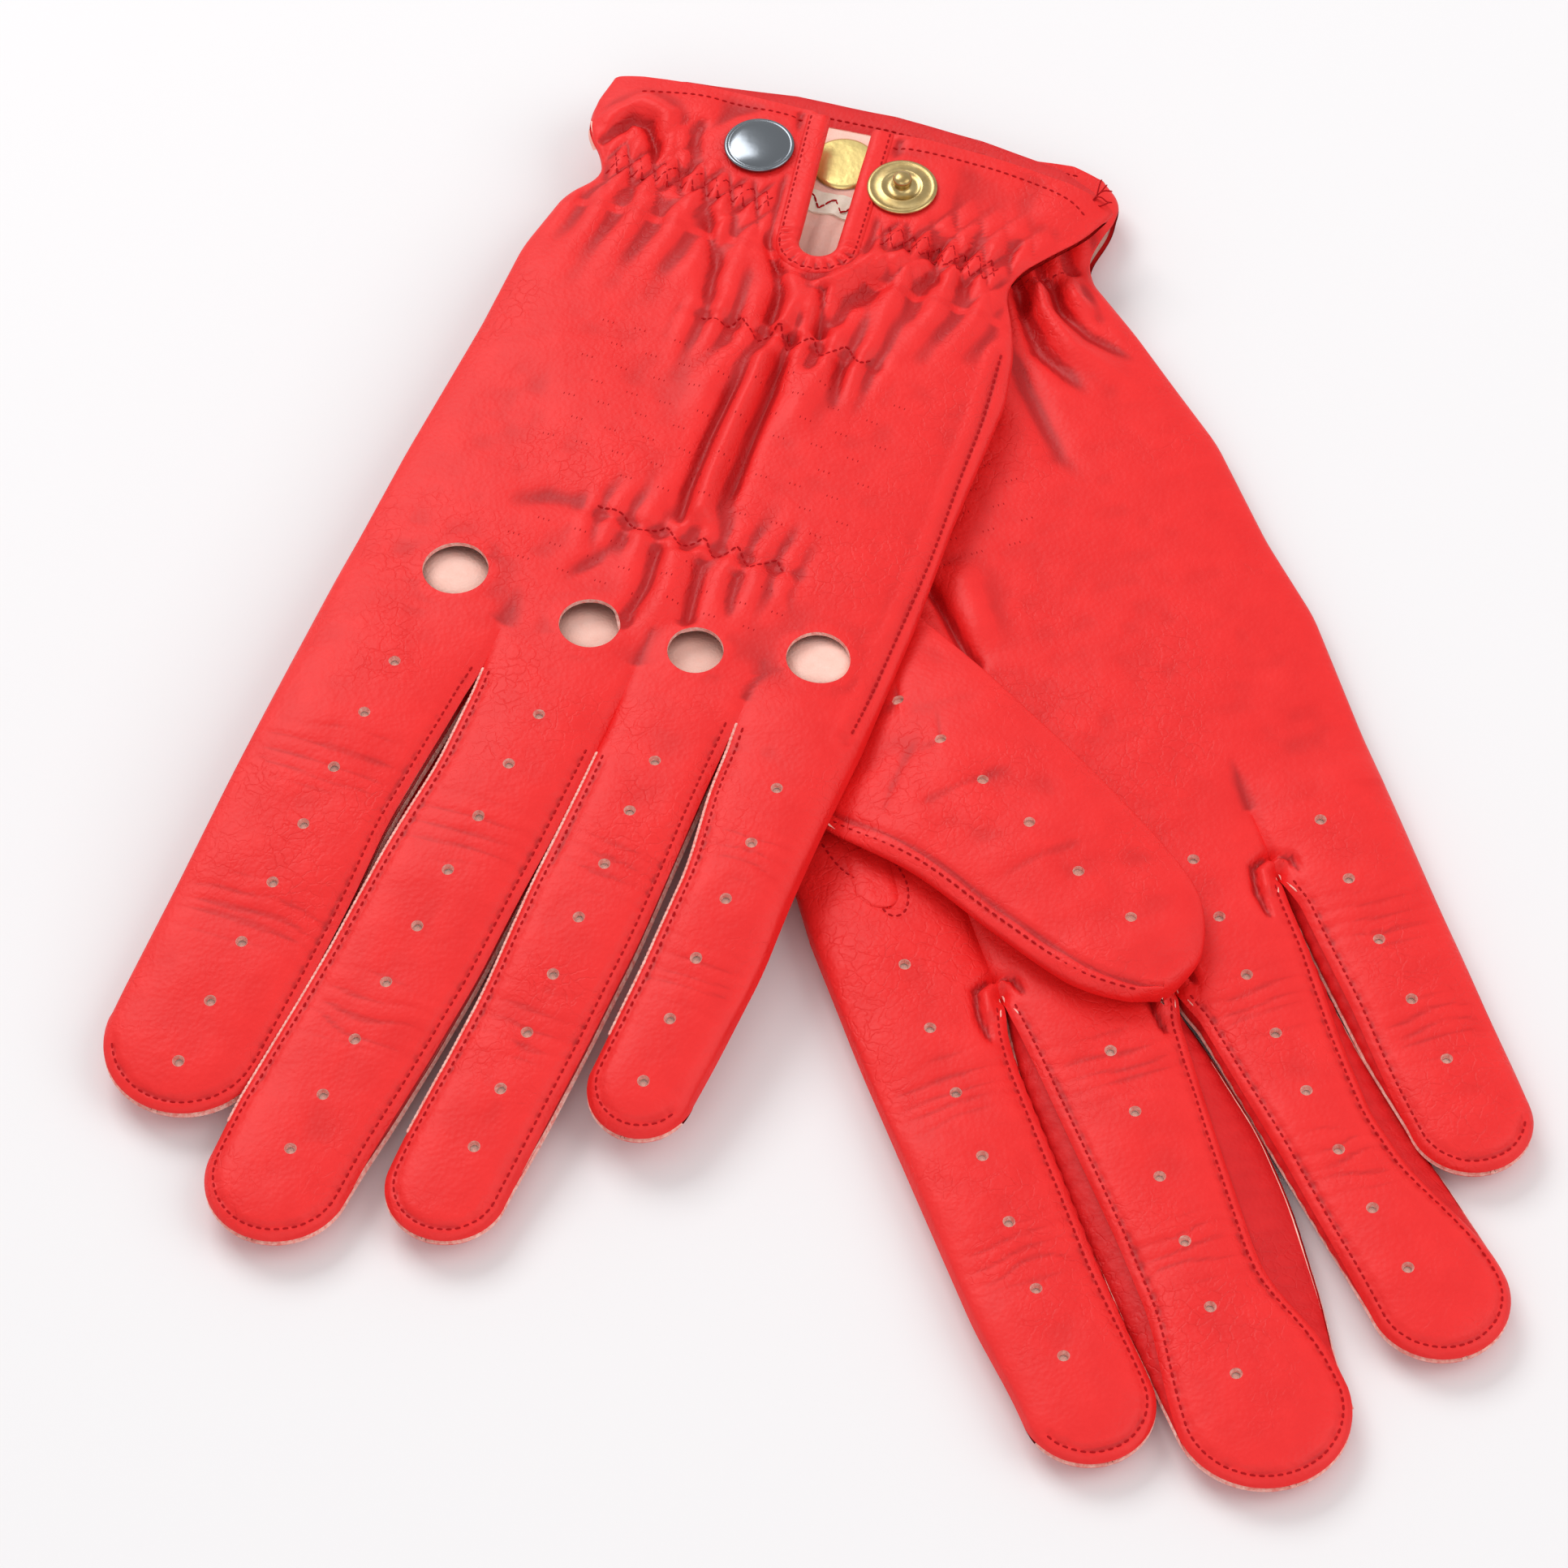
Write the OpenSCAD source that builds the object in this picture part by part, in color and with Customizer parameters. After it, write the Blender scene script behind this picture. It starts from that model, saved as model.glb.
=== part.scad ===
// A pair of leather driving gloves, one resting on the other.
// The upper glove lies back up, the lower one lies palm up with its thumb folded over the palm.
// Glove frame: wrist line on X, fingers toward -Y, back of the hand toward +Z, palm skin at Z = 0.

/* [Which node] */
// Node to draw, or all

/* [Leather] */
// Thickness of the glove leather
skin = 0.9; // [0.7:0.1:1.4]
// Outer thickness of the flattened hand
hand_t = 7.6; // [7:0.2:12]
// Outer thickness of the flattened cuff
cuff_t = 6.0; // [5.6:0.1:8]
// Clearance between separate leather pieces
gap = 0.3; // [0.2:0.05:0.6]
// Squareness of the flattened cross-section
squareness = 2.6; // [2:0.1:4]

/* [Hand outline] */
// Half width at the gathered wrist
wrist_half = 35; // [30:1:40]
// Width of the palm on the little-finger side
outer_half = 45; // [40:1:50]
// Width of the upper glove on the index side
inner_half_u = 41; // [38:1:50]
// Width of the lower glove on the index side
inner_half_l = 47; // [38:1:50]
// Height of the back's cuff above the wrist line
back_rim = 21.5; // [15:0.5:28]
// Height of the palm's cuff above the wrist line
palm_rim = 29; // [22:0.5:34]

/* [Finger roots] */
// Fold line of the upper glove's fingers
root_u = -104; // [-110:1:-100]
// Fold line of the lower glove's fingers
root_l = -137; // [-142:1:-120]

/* [Ventilation] */
// Radius of the finger perforations
perf_r = 0.75; // [0.5:0.05:1.2]
// Radius of the knuckle holes
knuckle_r = 5.2; // [4:0.1:7]

/* [Wrist opening] */
// Depth of the vent below the wrist line
vent_depth = 9.8; // [8:0.2:16]
// Width of the binding round the vent
binding_w = 4; // [2:0.2:5]

/* [Snap] */
// Radius of the snap's cap and stud
snap_r = 5.75; // [5:0.25:8]
// Height of the snap above the leather
snap_h = 1.3; // [1:0.1:2]
// Distance of the snap above the wrist line
snap_y = 10; // [7:0.5:14]

/* [Thumb] */
// Width of the flattened thumb
thumb_w = 31; // [26:1:34]
// Thickness of the flattened thumb
thumb_t = 5.6; // [5.2:0.2:8]
// Angle between thumb and hand
thumb_turn = 21; // [10:1:30]

/* [Stacking] */
// Turn of the upper glove
turn_u = -21; // [-30:1:-10]
// Turn of the lower glove
turn_l = 18; // [10:1:30]
// Height of the upper glove's palm above the table
lift_u = 8.2; // [8:0.1:14]
// Drop of the upper glove's fingertips to the table
drop_u = 7.6; // [0:0.2:8]

/* [Hidden] */
// Wrist centres of the two gloves in the plane of the table
place_u = [-0.9, 97.25];
place_l = [11.6, 78.75];
// Snap centres across the wrist
cap_x = -12;
stud_x = 12.8;
// Fingers: distance below the wrist, centre, width
fingers_u = [
  [[-100, -27.6, 27.2], [-150, -28.8, 25.8], [-178, -30.4, 24.4]],
  [[-100, -2, 21.4], [-150, -4, 22.2], [-190, -7.8, 21.6]],
  [[-100, 18, 17.8], [-150, 17.8, 18.4], [-185, 15.4, 18]],
  [[-100, 36.6, 18.4], [-140, 37.6, 17.4], [-162, 35.8, 15.6]]
];
fingers_l = [
  [[-100, -36.6, 22], [-150, -36.8, 21.6], [-192, -35.6, 19.4]],
  [[-100, -11.8, 22.4], [-150, -11, 22.2], [-200, -12, 21]],
  [[-100, 10.6, 19], [-150, 12.4, 17.6], [-190, 18.4, 19]],
  [[-100, 33.4, 19.6], [-150, 34.2, 18.2], [-166, 34.2, 16.6]]
];
tips_u = [-189.5, -204.5, -195.5, -170];
tips_l = [-205, -216, -204.5, -176.5];
perf_n = [8, 9, 8, 7];
perf_u = [-109, -110, -111.5, -99.5];
perf_l = [-118, -119, -114, -113];
perf_step = [10.6, 10.2, 9.9, 10.6];
side_names = ["index", "middle", "ring", "little"];

function pow_s(v, e) = sign(v) * pow(abs(v), e);
// One flattened cross-section: n points at station y
function ring(y, cx, hw, zc, ht, n) = [
  for (i = [0:n - 1])
    let (a = 360 * (i + 0.5) / n)
      [cx + hw * pow_s(cos(a), 2 / squareness), y, zc + ht * pow_s(sin(a), 2 / squareness)]
];
function flat(l) = [for (a = l) for (b = a) b];
// Two triangles for each cell between rings k and k + 1
function band(k, n, flip) = flat([
  for (i = [0:n - 1])
    let (a = k * n + i, b = k * n + (i + 1) % n, c = a + n, d = b + n)
      flip ? [[a, c, b], [b, c, d]] : [[a, b, c], [b, d, c]]
]);

// A tube from a list of outer rings and a list of inner rings, open at its first station.
// A closed tube has its own cap at the last station; an open one joins the two skins there.
module skin_tube(outer, inner, n, closed) {
  no = len(outer);
  ni = len(inner);
  pts = concat(flat(outer), flat(inner));
  in0 = no * n;
  out_f = flat([for (k = [0:no - 2]) band(k, n, false)]);
  in_f = flat([for (k = [0:ni - 2]) [for (f = band(k, n, true)) [f[0] + in0, f[1] + in0, f[2] + in0]]]);
  mouth = flat([
    for (i = [0:n - 1])
      let (a = i, b = (i + 1) % n, c = in0 + i, d = in0 + (i + 1) % n)
        [[a, c, b], [b, c, d]]
  ]);
  oe = (no - 1) * n;
  ie = in0 + (ni - 1) * n;
  ends = closed
    ? [[for (i = [0:n - 1]) oe + i], [for (i = [n - 1:-1:0]) ie + i]]
    : flat([
        for (i = [0:n - 1])
          let (a = oe + i, b = oe + (i + 1) % n, c = ie + i, d = ie + (i + 1) % n)
            [[a, b, c], [b, d, c]]
      ]);
  polyhedron(points = pts, faces = concat(out_f, in_f, mouth, ends), convexity = 6);
}

function ease(t) = let (u = min(max(t, 0), 1)) u * u * (3 - 2 * u);
// Palm-side height of a finger at station y
function drop_at(y, drop, root) = -drop * ease((root - 14 - y) / 74);

// Round-ended leather tube of one finger
module finger_tube(path, tip, root, drop) {
  n = 20;
  r = path[2][2] / 2;
  y0 = root - gap;
  y1 = tip + r * 0.95;
  wid = [for (p = path) [-p[0], p[2]]];
  cen = [for (p = path) [-p[0], p[1]]];
  outer = concat(
    [for (k = [0:6])
      let (y = y0 + (y1 - y0) * k / 6, zc = hand_t / 2 + drop_at(y, drop, root))
        ring(y, lookup(-y, cen), lookup(-y, wid) / 2, zc, hand_t / 2 - 0.3 * k / 6, n)],
    [for (a = [28, 52, 70, 83])
      let (y = y1 - (y1 - tip) * sin(a), zc = hand_t / 2 + drop_at(y, drop, root))
        ring(y, lookup(-y, cen), r * cos(a), zc, (hand_t / 2 - 0.3) * sqrt(cos(a)), n)]
  );
  inner = concat(
    [for (k = [0:6])
      let (y = y0 + (y1 - y0) * k / 6, zc = hand_t / 2 + drop_at(y, drop, root))
        ring(y, lookup(-y, cen), lookup(-y, wid) / 2 - skin, zc, hand_t / 2 - 0.3 * k / 6 - skin, n)],
    [for (a = [28, 52, 70, 83])
      let (y = y1 - (y1 - tip - skin) * sin(a), zc = hand_t / 2 + drop_at(y, drop, root))
        ring(y, lookup(-y, cen), (r - skin) * cos(a), zc, (hand_t / 2 - 0.3 - skin) * sqrt(cos(a)), n)]
  );
  skin_tube(outer, inner, n, true);
}

// Slab round the side seam's strip of one finger: side is -1 for the index side, 1 for the other
module seam_slab(path, tip, root, drop, side, trim) {
  ya = root - 8 - trim;
  yb = tip + 16 + trim;
  xa = lookup(8 - root, [for (p = path) [-p[0], p[1] + side * p[2] / 2]]);
  xb = path[2][1] + side * path[2][2] / 2;
  x0 = side > 0 ? min(xa, xb) - 3 : min(xa, xb) - 5;
  x1 = side > 0 ? max(xa, xb) + 5 : max(xa, xb) + 3;
  low = [for (k = [0:10]) let (y = ya + (yb - ya) * k / 10) [y, 1.9 + trim + drop_at(y, drop, root)]];
  high = [for (k = [10:-1:0])
    let (y = ya + (yb - ya) * k / 10) [y, hand_t - 1.9 - trim + drop_at(y, drop, root)]];
  translate([x0, 0, 0])
    rotate([90, 0, 90])
      linear_extrude(x1 - x0)
        polygon(concat(low, high));
}

module perforations(path, start, step, count) {
  cen = [for (p = path) [-p[0], p[1]]];
  for (k = [0:count - 1])
    let (y = start - step * k)
      translate([lookup(-y, cen), y, -10])
        cylinder(r = perf_r, h = 24, $fn = 16);
}

// One finger's leather: front and back panels joined round the tip, open at the strips between fingers
module finger(i, up) {
  path = up ? fingers_u[i] : fingers_l[i];
  tip = up ? tips_u[i] : tips_l[i];
  root = up ? root_u : root_l;
  drop = up ? drop_u : 0;
  difference() {
    finger_tube(path, tip, root, drop);
    if (i > 0)
      seam_slab(path, tip, root, drop, -1, 0);
    if (i < 3)
      seam_slab(path, tip, root, drop, 1, 0);
    perforations(path, up ? perf_u[i] : perf_l[i], perf_step[i], perf_n[i]);
  }
}

// The strip of leather set into one side of a finger: a thin curved wall between its two seams
module fourchette(i, side, up) {
  path = up ? fingers_u[i] : fingers_l[i];
  tip = up ? tips_u[i] : tips_l[i];
  root = up ? root_u : root_l;
  drop = up ? drop_u : 0;
  wid = [for (p = path) [-p[0], p[2]]];
  cen = [for (p = path) [-p[0], p[1]]];
  ya = root - 8.3;
  yb = tip + 16.3;
  angles = [-32, -20, -8, 8, 20, 32];
  m = 2 * len(angles);
  rings = [for (k = [0:8])
    let (y = ya + (yb - ya) * k / 8,
         zc = hand_t / 2 + drop_at(y, drop, root),
         cx = lookup(-y, cen),
         hw = lookup(-y, wid) / 2 - 0.1,
         ht = hand_t / 2 - 0.3)
      concat(
        [for (a = angles) [cx + side * hw * pow(cos(a), 0.77), y, zc + ht * pow_s(sin(a), 0.77) * 0.72]],
        [for (j = [5:-1:0])
          let (a = angles[j])
            [cx + side * (hw - skin + 0.1) * pow(cos(a), 0.77), y, zc + ht * pow_s(sin(a), 0.77) * 0.72]])];
  walls = flat([for (k = [0:7]) band(k, m, side < 0)]);
  first = side > 0 ? [for (j = [m - 1:-1:0]) j] : [for (j = [0:m - 1]) j];
  last = side > 0 ? [for (j = [0:m - 1]) 8 * m + j] : [for (j = [m - 1:-1:0]) 8 * m + j];
  polyhedron(points = flat(rings), faces = concat(walls, [first, last]), convexity = 4);
}

// Closed loop of the hand and cuff, before its openings are cut
module hand_tube(up) {
  n = 36;
  ih = up ? inner_half_u : inner_half_l;
  end = up ? root_u : root_l;
  left = [[-palm_rim - 2, -41], [-12, -40], [-5, -38.5], [0, -wrist_half], [10, -39], [25, -41],
    [60, -(ih + 41) / 2], [100, -ih], [-end, -ih]];
  right = [[-palm_rim - 2, 46], [-12, 43], [-5, 38.5], [0, wrist_half], [10, 38.5], [25, 42.5],
    [60, 44], [100, outer_half], [-end, outer_half - (up ? 0 : 1.4)]];
  top = [[-palm_rim - 2, cuff_t], [-8, cuff_t], [2, cuff_t + 0.4], [12, cuff_t + 1], [24, hand_t], [-end, hand_t]];
  ys = [palm_rim + 2, 20, 12, 5, 0, -6, -12, -25, -45, -70, (end - 70) / 2, end];
  outer = [for (y = ys)
    let (a = lookup(-y, left), b = lookup(-y, right), t = lookup(-y, top))
      ring(y, (a + b) / 2, (b - a) / 2, t / 2, t / 2, n)];
  inner = [for (y = ys)
    let (a = lookup(-y, left), b = lookup(-y, right), t = lookup(-y, top))
      ring(y, (a + b) / 2, (b - a) / 2 - skin, t / 2, t / 2 - skin, n)];
  skin_tube(outer, inner, n, false);
}

// Rounded outline of the palm's cuff, used to trim the loop
module rim_trim() {
  translate([0, 0, -5])
    linear_extrude(20)
      polygon([[-70, 80], [-70, 20], [-42, 20], [-30, 24], [-12, 27.6], [5, palm_rim], [20, palm_rim], [34, 27.4],
        [46, 23], [70, 20], [70, 80]]);
}

// Half-round foot of the vent: everything inside radius r and below the flaps' fold lines
module vent_foot(r) {
  translate([4.3, -vent_depth + 3.9])
    difference() {
      circle(r = r, $fn = 40);
      translate([-20, 0.2])
        square([40, 20]);
    }
}

// Everything that is cut from the back for the vent and the two flaps
module vent_cut() {
  translate([0, 0, cuff_t / 2])
    linear_extrude(14) {
      vent_foot(3.9 + binding_w);
      polygon([[-34.3, 60], [-34.3, 12.1], [-0.2, -5.7], [8.6, -5.7], [36.3, 9.4], [36.3, 60]]);
    }
}

// Triangular gaps where two neighbouring fingers part
module forks(up) {
  list = up ? [[-13.2, -102.4, 0.4, 0], [27, -98.6, 0.5, 0]] : [[-24.2, -125, 1, 0], [1, -131, 1.2, 0], [22.4, -119, 1.4, 0]];
  end = up ? root_u : root_l;
  for (f = list)
    translate([0, 0, -2])
      linear_extrude(14)
        polygon([[f[0], f[1]], [f[0] - f[2], end - 3], [f[0] + f[2], end - 3]]);
}

module knuckle_holes() {
  for (k = [[-24, -90, 1, 1], [-0.6, -94.6, 1, 0.82], [16.4, -92, 0.78, 0.86], [34, -85.4, 0.94, 0.94]])
    translate([k[0], k[1], 4])
      linear_extrude(8)
        circle(r = knuckle_r * sqrt(k[2] * k[3]), $fn = 40);
}

// Palm and back of the hand in one folded piece, with the palm's half of the cuff
module hand(up) {
  difference() {
    hand_tube(up);
    rim_trim();
    vent_cut();
    knuckle_holes();
    forks(up);
    if (!up)
      for (i = [0:3])
        perforations(fingers_l[i], perf_l[i], perf_step[i], perf_n[i]);
  }
}

// Turned edge round the foot of the vent, a flat half ring that follows the slope of the back
module vent_binding() {
  translate([0, -10, 6.82])
    rotate([-3.2, 0, 0])
      translate([0, 10, -skin])
        linear_extrude(skin)
          difference() {
            vent_foot(3.65 + binding_w);
            translate([4.3, -vent_depth + 3.9])
              circle(r = 3.9, $fn = 40);
            translate([-20, -6.1])
              square([60, 20]);
          }
}

// Corner of the back's cuff that folds open: side is -1 for the cap's half, 1 for the stud's half
module cuff_flap(side, up) {
  x = side < 0 ? cap_x : stud_x;
  intersection() {
    difference() {
      hand_tube(up);
      translate([x, snap_y, 2])
        cylinder(r = 1.7, h = 8, $fn = 24);
    }
    translate([0, 0, cuff_t / 2])
      linear_extrude(10)
        if (side < 0)
          polygon([[-0.3, -5.3], [-1.6, 2], [-4, 16], [-7, back_rim - 1], [-24, back_rim - 1.5],
            [-33, back_rim - 4], [-34, 12.3]]);
        else
          polygon([[8.7, -5.3], [8.2, 2], [4, back_rim - 2], [14, back_rim], [30, back_rim + 0.5],
            [36, back_rim - 1], [36, 9.6]]);
  }
}

// Turned hem along the inside of the palm's cuff
module cuff_facing() {
  translate([0, 0, 1.45])
    linear_extrude(0.6)
      polygon([[-24, 19.5], [-8, 22.4], [5, 23.6], [20, 23.6], [28, 22.4], [28, 26.4], [20, palm_rim - 0.6],
        [5, palm_rim - 0.6], [-8, 27], [-24, 24]]);
}

module wrist_elastic() {
  translate([-28, 4.6, 1.5])
    cube([56, 4.6, 0.6]);
}

module back_elastic(y) {
  translate([-8, y - 3, hand_t - skin - 0.85])
    cube([31, 6, 0.5]);
}

module label_disc() {
  translate([0.5, 16, 1.5])
    rotate_extrude($fn = 48)
      polygon([[0, 0], [5.5, 0], [5.5, 0.5], [5.2, 0.7], [0, 0.7]]);
}

// Domed cap with its shank through the leather
module snap_cap() {
  z = cuff_t + 0.25;
  translate([cap_x, snap_y, z])
    rotate_extrude($fn = 64)
      polygon([[0, -0.9], [1.4, -0.9], [1.4, 0], [snap_r - 0.5, 0], [snap_r, 0.3], [snap_r, 0.6],
        [snap_r - 0.6, 0.85], [4, snap_h - 0.15], [2, snap_h - 0.02], [0, snap_h]]);
}

// Sprung socket under the cap's flap
module snap_socket() {
  translate([cap_x, snap_y, cuff_t - skin - 0.35])
    mirror([0, 0, 1])
      rotate_extrude($fn = 48)
        polygon([[0, 0], [4.8, 0], [4.8, 0.5], [4, 1.1], [2.4, 1.1], [2.2, 0.5], [0, 0.5]]);
}

// Brass stud with its ringed base and round head
module snap_stud() {
  z = cuff_t + 0.25;
  translate([stud_x, snap_y, z])
    rotate_extrude($fn = 64)
      polygon([[0, -0.9], [1.4, -0.9], [1.4, 0], [snap_r, 0], [snap_r, 0.35], [snap_r - 0.5, 0.55],
        [3.2, 0.55], [2.9, 0.3], [2, 0.3], [1.7, 0.6], [2, 0.95], [1.7, snap_h - 0.1], [1, snap_h],
        [0, snap_h]]);
}

// Flat washer that holds the stud under its flap
module snap_post() {
  translate([stud_x, snap_y, cuff_t - skin - 0.35])
    mirror([0, 0, 1])
      rotate_extrude($fn = 48)
        polygon([[0, 0], [4.4, 0], [4.4, 0.3], [4, 0.6], [1.2, 0.6], [1, 0.3], [0, 0.3]]);
}

// Thumb folded flat over the palm, cut off slanting at its root
module thumb(up) {
  n = 20;
  r = 13.4;
  len = 62;
  sink = up ? 1.6 : 0.4;
  y1 = -len + r;
  wid = [[0, thumb_w + 2], [25, thumb_w], [45, thumb_w - 3], [60, 2 * r]];
  zc = -gap - thumb_t / 2;
  outer = concat(
    [for (k = [0:5])
      let (y = 8 + (y1 - 8) * k / 5)
        ring(y, 0, lookup(-y, wid) / 2, zc - sink * k / 6, thumb_t / 2, n)],
    [for (a = [28, 52, 70, 83])
      let (y = y1 - (y1 + len) * sin(a))
        ring(y, 0, r * cos(a), zc - sink, (thumb_t / 2) * sqrt(cos(a)), n)]
  );
  inner = concat(
    [for (k = [0:5])
      let (y = 8 + (y1 - 8) * k / 5)
        ring(y, 0, lookup(-y, wid) / 2 - skin, zc - sink * k / 6, thumb_t / 2 - skin, n)],
    [for (a = [28, 52, 70, 83])
      let (y = y1 - (y1 + len - skin) * sin(a))
        ring(y, 0, (r - skin) * cos(a), zc - sink, (thumb_t / 2 - skin) * sqrt(cos(a)), n)]
  );
  difference() {
    translate([-23.2, -76, 0])
      rotate(thumb_turn)
        difference() {
          skin_tube(outer, inner, n, true);
          for (k = [0:5])
            translate([0, 2 - 10.4 * k, -20])
              cylinder(r = perf_r, h = 24, $fn = 16);
        }
    thumb_root_cut(up ? 0 : 2);
  }
}

// Half-space behind the slanting root of the thumb
module thumb_root_cut(inset) {
  translate([-27, -76, -12])
    rotate(-33.6)
      translate([inset - 60, -30, 0])
        cube([60, 90, 14]);
}

// Tongue of leather set into the palm at the root of the thumb
module thumb_gusset() {
  translate([-35.4, -103.5, 0.1])
    mirror([0, 0, 1])
      linear_extrude(0.6) {
        circle(r = 3.4, $fn = 32);
        translate([-3.4, 0])
          square([6.8, 5]);
      }
}

// Places a glove drawn in its own frame onto the table
module laid(up) {
  if (up)
    translate([place_u[0], place_u[1], lift_u])
      rotate(turn_u)
        children();
  else
    translate([place_l[0], place_l[1], hand_t])
      rotate(turn_l)
        mirror([0, 0, 1])
          children();
}

red = [0.88, 0.2, 0.2];
red_dark = [0.74, 0.14, 0.15];
steel = [0.68, 0.7, 0.72];
brass = [0.72, 0.58, 0.32];
cream = [0.9, 0.86, 0.76];

module u_hand() {
  color(red)
    laid(true)
      hand(true);
}

module u_index() {
  color(red)
    laid(true)
      finger(0, true);
}

module u_middle() {
  color(red)
    laid(true)
      finger(1, true);
}

module u_ring() {
  color(red)
    laid(true)
      finger(2, true);
}

module u_little() {
  color(red)
    laid(true)
      finger(3, true);
}

module u_thumb() {
  color(red)
    laid(true)
      thumb(true);
}

module u_thumb_gusset() {
  color(red_dark)
    laid(true)
      thumb_gusset();
}

module u_fourchette_index() {
  color(red_dark)
    laid(true)
      fourchette(0, 1, true);
}

module u_fourchette_middle_in() {
  color(red_dark)
    laid(true)
      fourchette(1, -1, true);
}

module u_fourchette_middle_out() {
  color(red_dark)
    laid(true)
      fourchette(1, 1, true);
}

module u_fourchette_ring_in() {
  color(red_dark)
    laid(true)
      fourchette(2, -1, true);
}

module u_fourchette_ring_out() {
  color(red_dark)
    laid(true)
      fourchette(2, 1, true);
}

module u_fourchette_little() {
  color(red_dark)
    laid(true)
      fourchette(3, -1, true);
}

module u_cap_flap() {
  color(red)
    laid(true)
      cuff_flap(-1, true);
}

module u_stud_flap() {
  color(red)
    laid(true)
      cuff_flap(1, true);
}

module u_vent_binding() {
  color(red_dark)
    laid(true)
      vent_binding();
}

module u_cuff_facing() {
  color(red)
    laid(true)
      cuff_facing();
}

module u_wrist_elastic() {
  color(cream)
    laid(true)
      wrist_elastic();
}

module u_back_elastic_near() {
  color(cream)
    laid(true)
      back_elastic(-27);
}

module u_back_elastic_far() {
  color(cream)
    laid(true)
      back_elastic(-70);
}

module u_label_disc() {
  color(brass)
    laid(true)
      label_disc();
}

module u_snap_cap() {
  color(steel)
    laid(true)
      snap_cap();
}

module u_snap_socket() {
  color(steel)
    laid(true)
      snap_socket();
}

module u_snap_stud() {
  color(brass)
    laid(true)
      snap_stud();
}

module u_snap_post() {
  color(brass)
    laid(true)
      snap_post();
}

module l_hand() {
  color(red)
    laid(false)
      hand(false);
}

module l_index() {
  color(red)
    laid(false)
      finger(0, false);
}

module l_middle() {
  color(red)
    laid(false)
      finger(1, false);
}

module l_ring() {
  color(red)
    laid(false)
      finger(2, false);
}

module l_little() {
  color(red)
    laid(false)
      finger(3, false);
}

module l_thumb() {
  color(red)
    laid(false)
      thumb(false);
}

module l_thumb_gusset() {
  color(red_dark)
    laid(false)
      thumb_gusset();
}

module l_fourchette_index() {
  color(red_dark)
    laid(false)
      fourchette(0, 1, false);
}

module l_fourchette_middle_in() {
  color(red_dark)
    laid(false)
      fourchette(1, -1, false);
}

module l_fourchette_middle_out() {
  color(red_dark)
    laid(false)
      fourchette(1, 1, false);
}

module l_fourchette_ring_in() {
  color(red_dark)
    laid(false)
      fourchette(2, -1, false);
}

module l_fourchette_ring_out() {
  color(red_dark)
    laid(false)
      fourchette(2, 1, false);
}

module l_fourchette_little() {
  color(red_dark)
    laid(false)
      fourchette(3, -1, false);
}

module l_cap_flap() {
  color(red)
    laid(false)
      cuff_flap(-1, false);
}

module l_stud_flap() {
  color(red)
    laid(false)
      cuff_flap(1, false);
}

module l_vent_binding() {
  color(red_dark)
    laid(false)
      vent_binding();
}

module l_cuff_facing() {
  color(red)
    laid(false)
      cuff_facing();
}

module l_wrist_elastic() {
  color(cream)
    laid(false)
      wrist_elastic();
}

module l_back_elastic_near() {
  color(cream)
    laid(false)
      back_elastic(-27);
}

module l_back_elastic_far() {
  color(cream)
    laid(false)
      back_elastic(-70);
}

module l_label_disc() {
  color(brass)
    laid(false)
      label_disc();
}

module l_snap_cap() {
  color(steel)
    laid(false)
      snap_cap();
}

module l_snap_socket() {
  color(steel)
    laid(false)
      snap_socket();
}

module l_snap_stud() {
  color(brass)
    laid(false)
      snap_stud();
}

module l_snap_post() {
  color(brass)
    laid(false)
      snap_post();
}

u_hand();
u_index();
u_middle();
u_ring();
u_little();
u_thumb();
u_thumb_gusset();
u_fourchette_index();
u_fourchette_middle_in();
u_fourchette_middle_out();
u_fourchette_ring_in();
u_fourchette_ring_out();
u_fourchette_little();
u_cap_flap();
u_stud_flap();
u_vent_binding();
u_cuff_facing();
u_wrist_elastic();
u_back_elastic_near();
u_back_elastic_far();
u_label_disc();
u_snap_cap();
u_snap_socket();
u_snap_stud();
u_snap_post();
l_hand();
l_index();
l_middle();
l_ring();
l_little();
l_thumb();
l_thumb_gusset();
l_fourchette_index();
l_fourchette_middle_in();
l_fourchette_middle_out();
l_fourchette_ring_in();
l_fourchette_ring_out();
l_fourchette_little();
l_cap_flap();
l_stud_flap();
l_vent_binding();
l_cuff_facing();
l_wrist_elastic();
l_back_elastic_near();
l_back_elastic_far();
l_label_disc();
l_snap_cap();
l_snap_socket();
l_snap_stud();
l_snap_post();
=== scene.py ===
# A pair of red leather driving gloves, the left one lying back up on the right one, which lies palm up.
import math

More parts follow.
